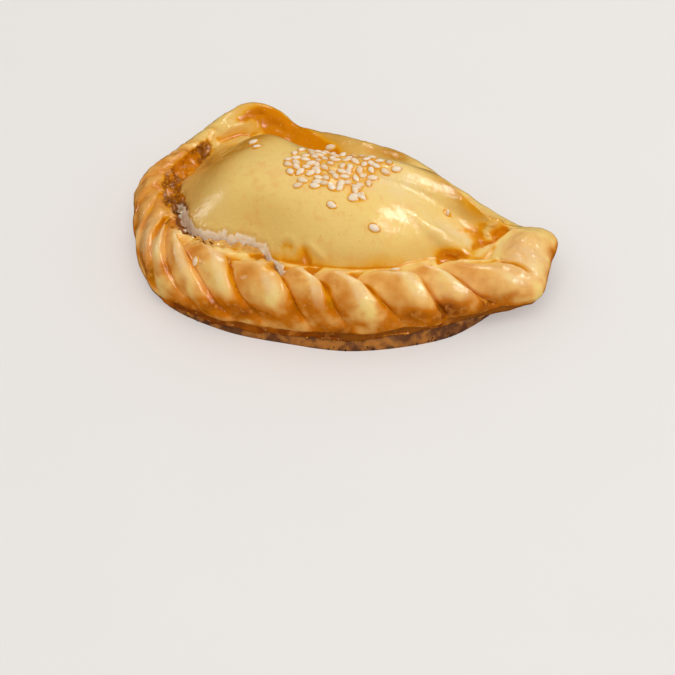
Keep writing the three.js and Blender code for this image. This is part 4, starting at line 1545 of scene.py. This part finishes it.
@dataclass
class GlazeBeads:
    """Tiny set bubbles of glaze in the grooves, along the seam and on the blistered left rim."""

    skin: PastrySkin
    form: Pebble = Pebble(0.5, 0.5, 0.4, 8, 5)
    count: int = 420
    seed: int = 29
    glaze: GlazeFinish = field(default_factory=GlazeFinish)

    def build(self) -> bpy.types.Object:
        """Sets beads on skin points drawn by how much pooled glaze or seam ledge they have.

        Returns:
            The beads.
        """
        shape = self.skin.shape
        draw = np.random.default_rng(self.seed)
        level = shape.grid.row_levels()[:, None]
        place = shape.grid.column_places()[None, :]
        chance = shape.marks["pool"] ** 3 * (level > 0.9) * (level < 3.0)
        chance = chance + 0.35 * bell((level - 3.95) / 0.06) * ((place > 12.5) & (place < 19.5))
        rim = (place > 9.3) & (place < 13.5) & (level > 1.05) & (level < 1.7)
        chance = chance + 0.05 * rim
        flat = (chance / chance.sum()).ravel()
        picked = draw.choice(len(flat), self.count, replace=False, p=flat)
        beads = Scatter("glaze_beads", self.form, self.glaze.material(), "glaze")
        points = shape.points.reshape(-1, 3)[picked] + self.skin.shift
        normals = shape.normals.reshape(-1, 3)[picked]
        for spot, normal, size in zip(points, normals, draw.uniform(0.35, 1.0, self.count) ** 1.5):
            lie = laid(Vector(normal))
            beads.add(Matrix.Translation(Vector(spot) * MM) @ lie, np.full(3, size))
        return beads.build()


@dataclass
class BurntCrumbs:
    """Burnt crumbs that cling to the lower edge, most of them under the right ear."""

    skin: PastrySkin
    form: Pebble = Pebble(0.9, 0.8, 0.7, 9, 6)
    runs: tuple[tuple[float, float, float, float, int], ...] = (
        (18.9, 19.9, 3.85, 4.1, 34), (15.6, 17.6, 4.75, 4.95, 14), (12.0, 15.0, 4.8, 4.95, 5))
    seed: int = 37
    finish: CrumbFinish = field(default_factory=CrumbFinish)

    def build(self) -> bpy.types.Object:
        """Sets crumbs on the skin over each run of places and levels.

        Returns:
            The crumbs.
        """
        shape = self.skin.shape
        draw = np.random.default_rng(self.seed)
        levels, columns = shape.grid.row_levels(), shape.grid.column_places()
        crumbs = Scatter("burnt_crumbs", self.form, self.finish.material(), "crust")
        count = len(self.form.points())
        for start, end, low, high, number in self.runs:
            for _ in range(number):
                row = int(np.searchsorted(levels, draw.uniform(low, high)))
                column = int(np.searchsorted(columns, draw.uniform(start, end))) % len(columns)
                spot = Vector(shape.points[row, column] + self.skin.shift)
                spot.z = max(spot.z, 0.35)
                lie = laid(Vector(draw.normal(0.0, 1.0, 3)))
                size = draw.uniform(0.4, 1.0) * np.array([1.0, *draw.uniform(0.6, 1.0, 2)])
                rough = draw.normal(0.0, 0.045, (count, 3))
                crumbs.add(Matrix.Translation(spot * MM) @ lie, size, rough=rough)
        return crumbs.build()


# ---------------------------------------------------------------- studio
class Side(Enum):
    """Where a soft light stands, as azimuth and elevation in degrees seen from the object."""

    KEY = (143.0, 46.0)
    RIGHT = (104.0, 50.0)
    LEFT = (-76.0, 18.0)
    FRONT = (30.0, 56.0)
    BACK = (-150.0, 38.0)


@dataclass(frozen=True)
class Studio:
    """A pale floor, soft lights and the camera at the photograph's angle."""

    shift: np.ndarray
    azimuth: float = 38.0
    elevation: float = 44.0
    distance: float = 480.0
    scale: float = 3.8
    looked_at: tuple[float, float, float] = (0.0, 0.0, 12.0)
    seen_at: tuple[float, float] = (345.0, 226.0)
    frame_size: float = 675.0
    sensor: float = 36.0
    sky: tuple[float, float, float, float] = (1.0, 0.98, 0.95, 1.0)
    sky_strength: float = 0.48
    lamps: tuple[tuple[Side, float, float, tuple[float, float, float]], ...] = (
        (Side.KEY, 16.0, 0.5, (0.98, 0.99, 1.02)),
        (Side.RIGHT, 8.0, 0.22, (0.98, 0.99, 1.02)),
        (Side.LEFT, 4.0, 0.2, (0.98, 0.99, 1.02)),
        (Side.FRONT, 19.0, 2.2, (1.0, 0.985, 0.96)),
        (Side.BACK, 4.0, 0.25, (1.0, 0.99, 0.98)),
    )

    @staticmethod
    def direction(azimuth: float, elevation: float) -> Vector:
        """Unit vector from the object towards an azimuth and elevation in degrees."""
        turn, lift = math.radians(azimuth), math.radians(elevation)
        return Vector((math.sin(turn) * math.cos(lift), -math.cos(turn) * math.cos(lift), math.sin(lift)))

    def build_camera(self) -> None:
        """Aims a long lens so that the object's middle falls where the photograph has it."""
        back = self.direction(self.azimuth, self.elevation)
        turn = math.radians(self.azimuth)
        right = Vector((math.cos(turn), math.sin(turn), 0.0))
        up = back.cross(right)
        half = self.frame_size / 2.0
        aside = (self.seen_at[0] - half) / self.scale
        above = (half - self.seen_at[1]) / self.scale
        aim = Vector(self.looked_at) + Vector(self.shift) - right * aside - up * above
        lens = bpy.data.cameras.new("camera")
        lens.sensor_width = self.sensor
        lens.lens = self.sensor * self.scale * self.distance / self.frame_size
        lens.clip_start, lens.clip_end = 0.01, 20.0
        camera = bpy.data.objects.new("camera", lens)
        camera.location = (aim + back * self.distance) * MM
        camera.rotation_mode = "QUATERNION"
        camera.rotation_quaternion = Matrix((right, up, back)).transposed().to_quaternion()
        bpy.context.scene.collection.objects.link(camera)
        bpy.context.scene.camera = camera

    def build_light(self, side: Side, power: float, size: float, colour: tuple[float, float, float]) -> None:
        """One square soft light that faces the object. Only the front one casts shadows, and it alone is
        left out of reflections.

        Args:
            side: Where it stands.
            power: Watts.
            size: Width in metres.
            colour: Linear colour.
        """
        lamp = bpy.data.lights.new(side.name.lower(), "AREA")
        lamp.energy, lamp.size, lamp.color = power, size, colour
        lamp.use_shadow = side is Side.FRONT
        away = self.direction(*side.value)
        light = bpy.data.objects.new(side.name.lower(), lamp)
        light.location = away * LAMP_DISTANCE
        light.visible_glossy = side is not Side.FRONT
        light.rotation_mode = "QUATERNION"
        light.rotation_quaternion = away.to_track_quat("Z", "Y")
        bpy.context.scene.collection.objects.link(light)

    def build_floor(self) -> None:
        """A wide pale floor with a very faint unevenness in its tone."""
        corners = FLOOR_HALF * np.array([[-1, -1, 0], [1, -1, 0], [1, 1, 0], [-1, 1, 0]], float)
        bench = Bench("floor")
        tone = bench.blend(tint(227, 224, 221), tint(229, 226, 223), bench.spots(40.0, 2.0))
        material = bench.surface({"Base Color": tone, "Roughness": 0.9, "Specular IOR Level": 0.1})
        floor = new_piece("floor", corners, [[0, 1, 2, 3]], material)
        floor.visible_glossy = False

    def build(self) -> None:
        """Floor, world light, soft lights and camera."""
        scene = bpy.context.scene
        scene.view_settings.view_transform = "Standard"
        world = bpy.data.worlds.new("studio")
        world.use_nodes = True
        background = world.node_tree.nodes["Background"]
        background.inputs["Color"].default_value = self.sky
        background.inputs["Strength"].default_value = self.sky_strength
        scene.world = world
        world.cycles_visibility.glossy = False
        self.build_floor()
        for lamp in self.lamps:
            self.build_light(*lamp)
        self.build_camera()


def main() -> None:
    """Builds the pastry, its seeds and the studio, and reports each piece."""
    logging.basicConfig(level=logging.INFO, format="%(name)s: %(message)s")
    places = SeedPatch().places()
    shape = PastryShape(places)
    shape.build()
    skin = PastrySkin(shape)
    pieces = [skin.build()]
    bpy.context.view_layer.update()
    pieces += SesameSeeds(skin, places).build()
    pieces += [GlazeBeads(skin).build(), BurntCrumbs(skin).build()]
    for piece in pieces:
        LOG.info("%s: %d points, %d faces", piece.name, len(piece.data.vertices), len(piece.data.polygons))
    Studio(skin.shift).build()


if __name__ == "__main__":
    main()
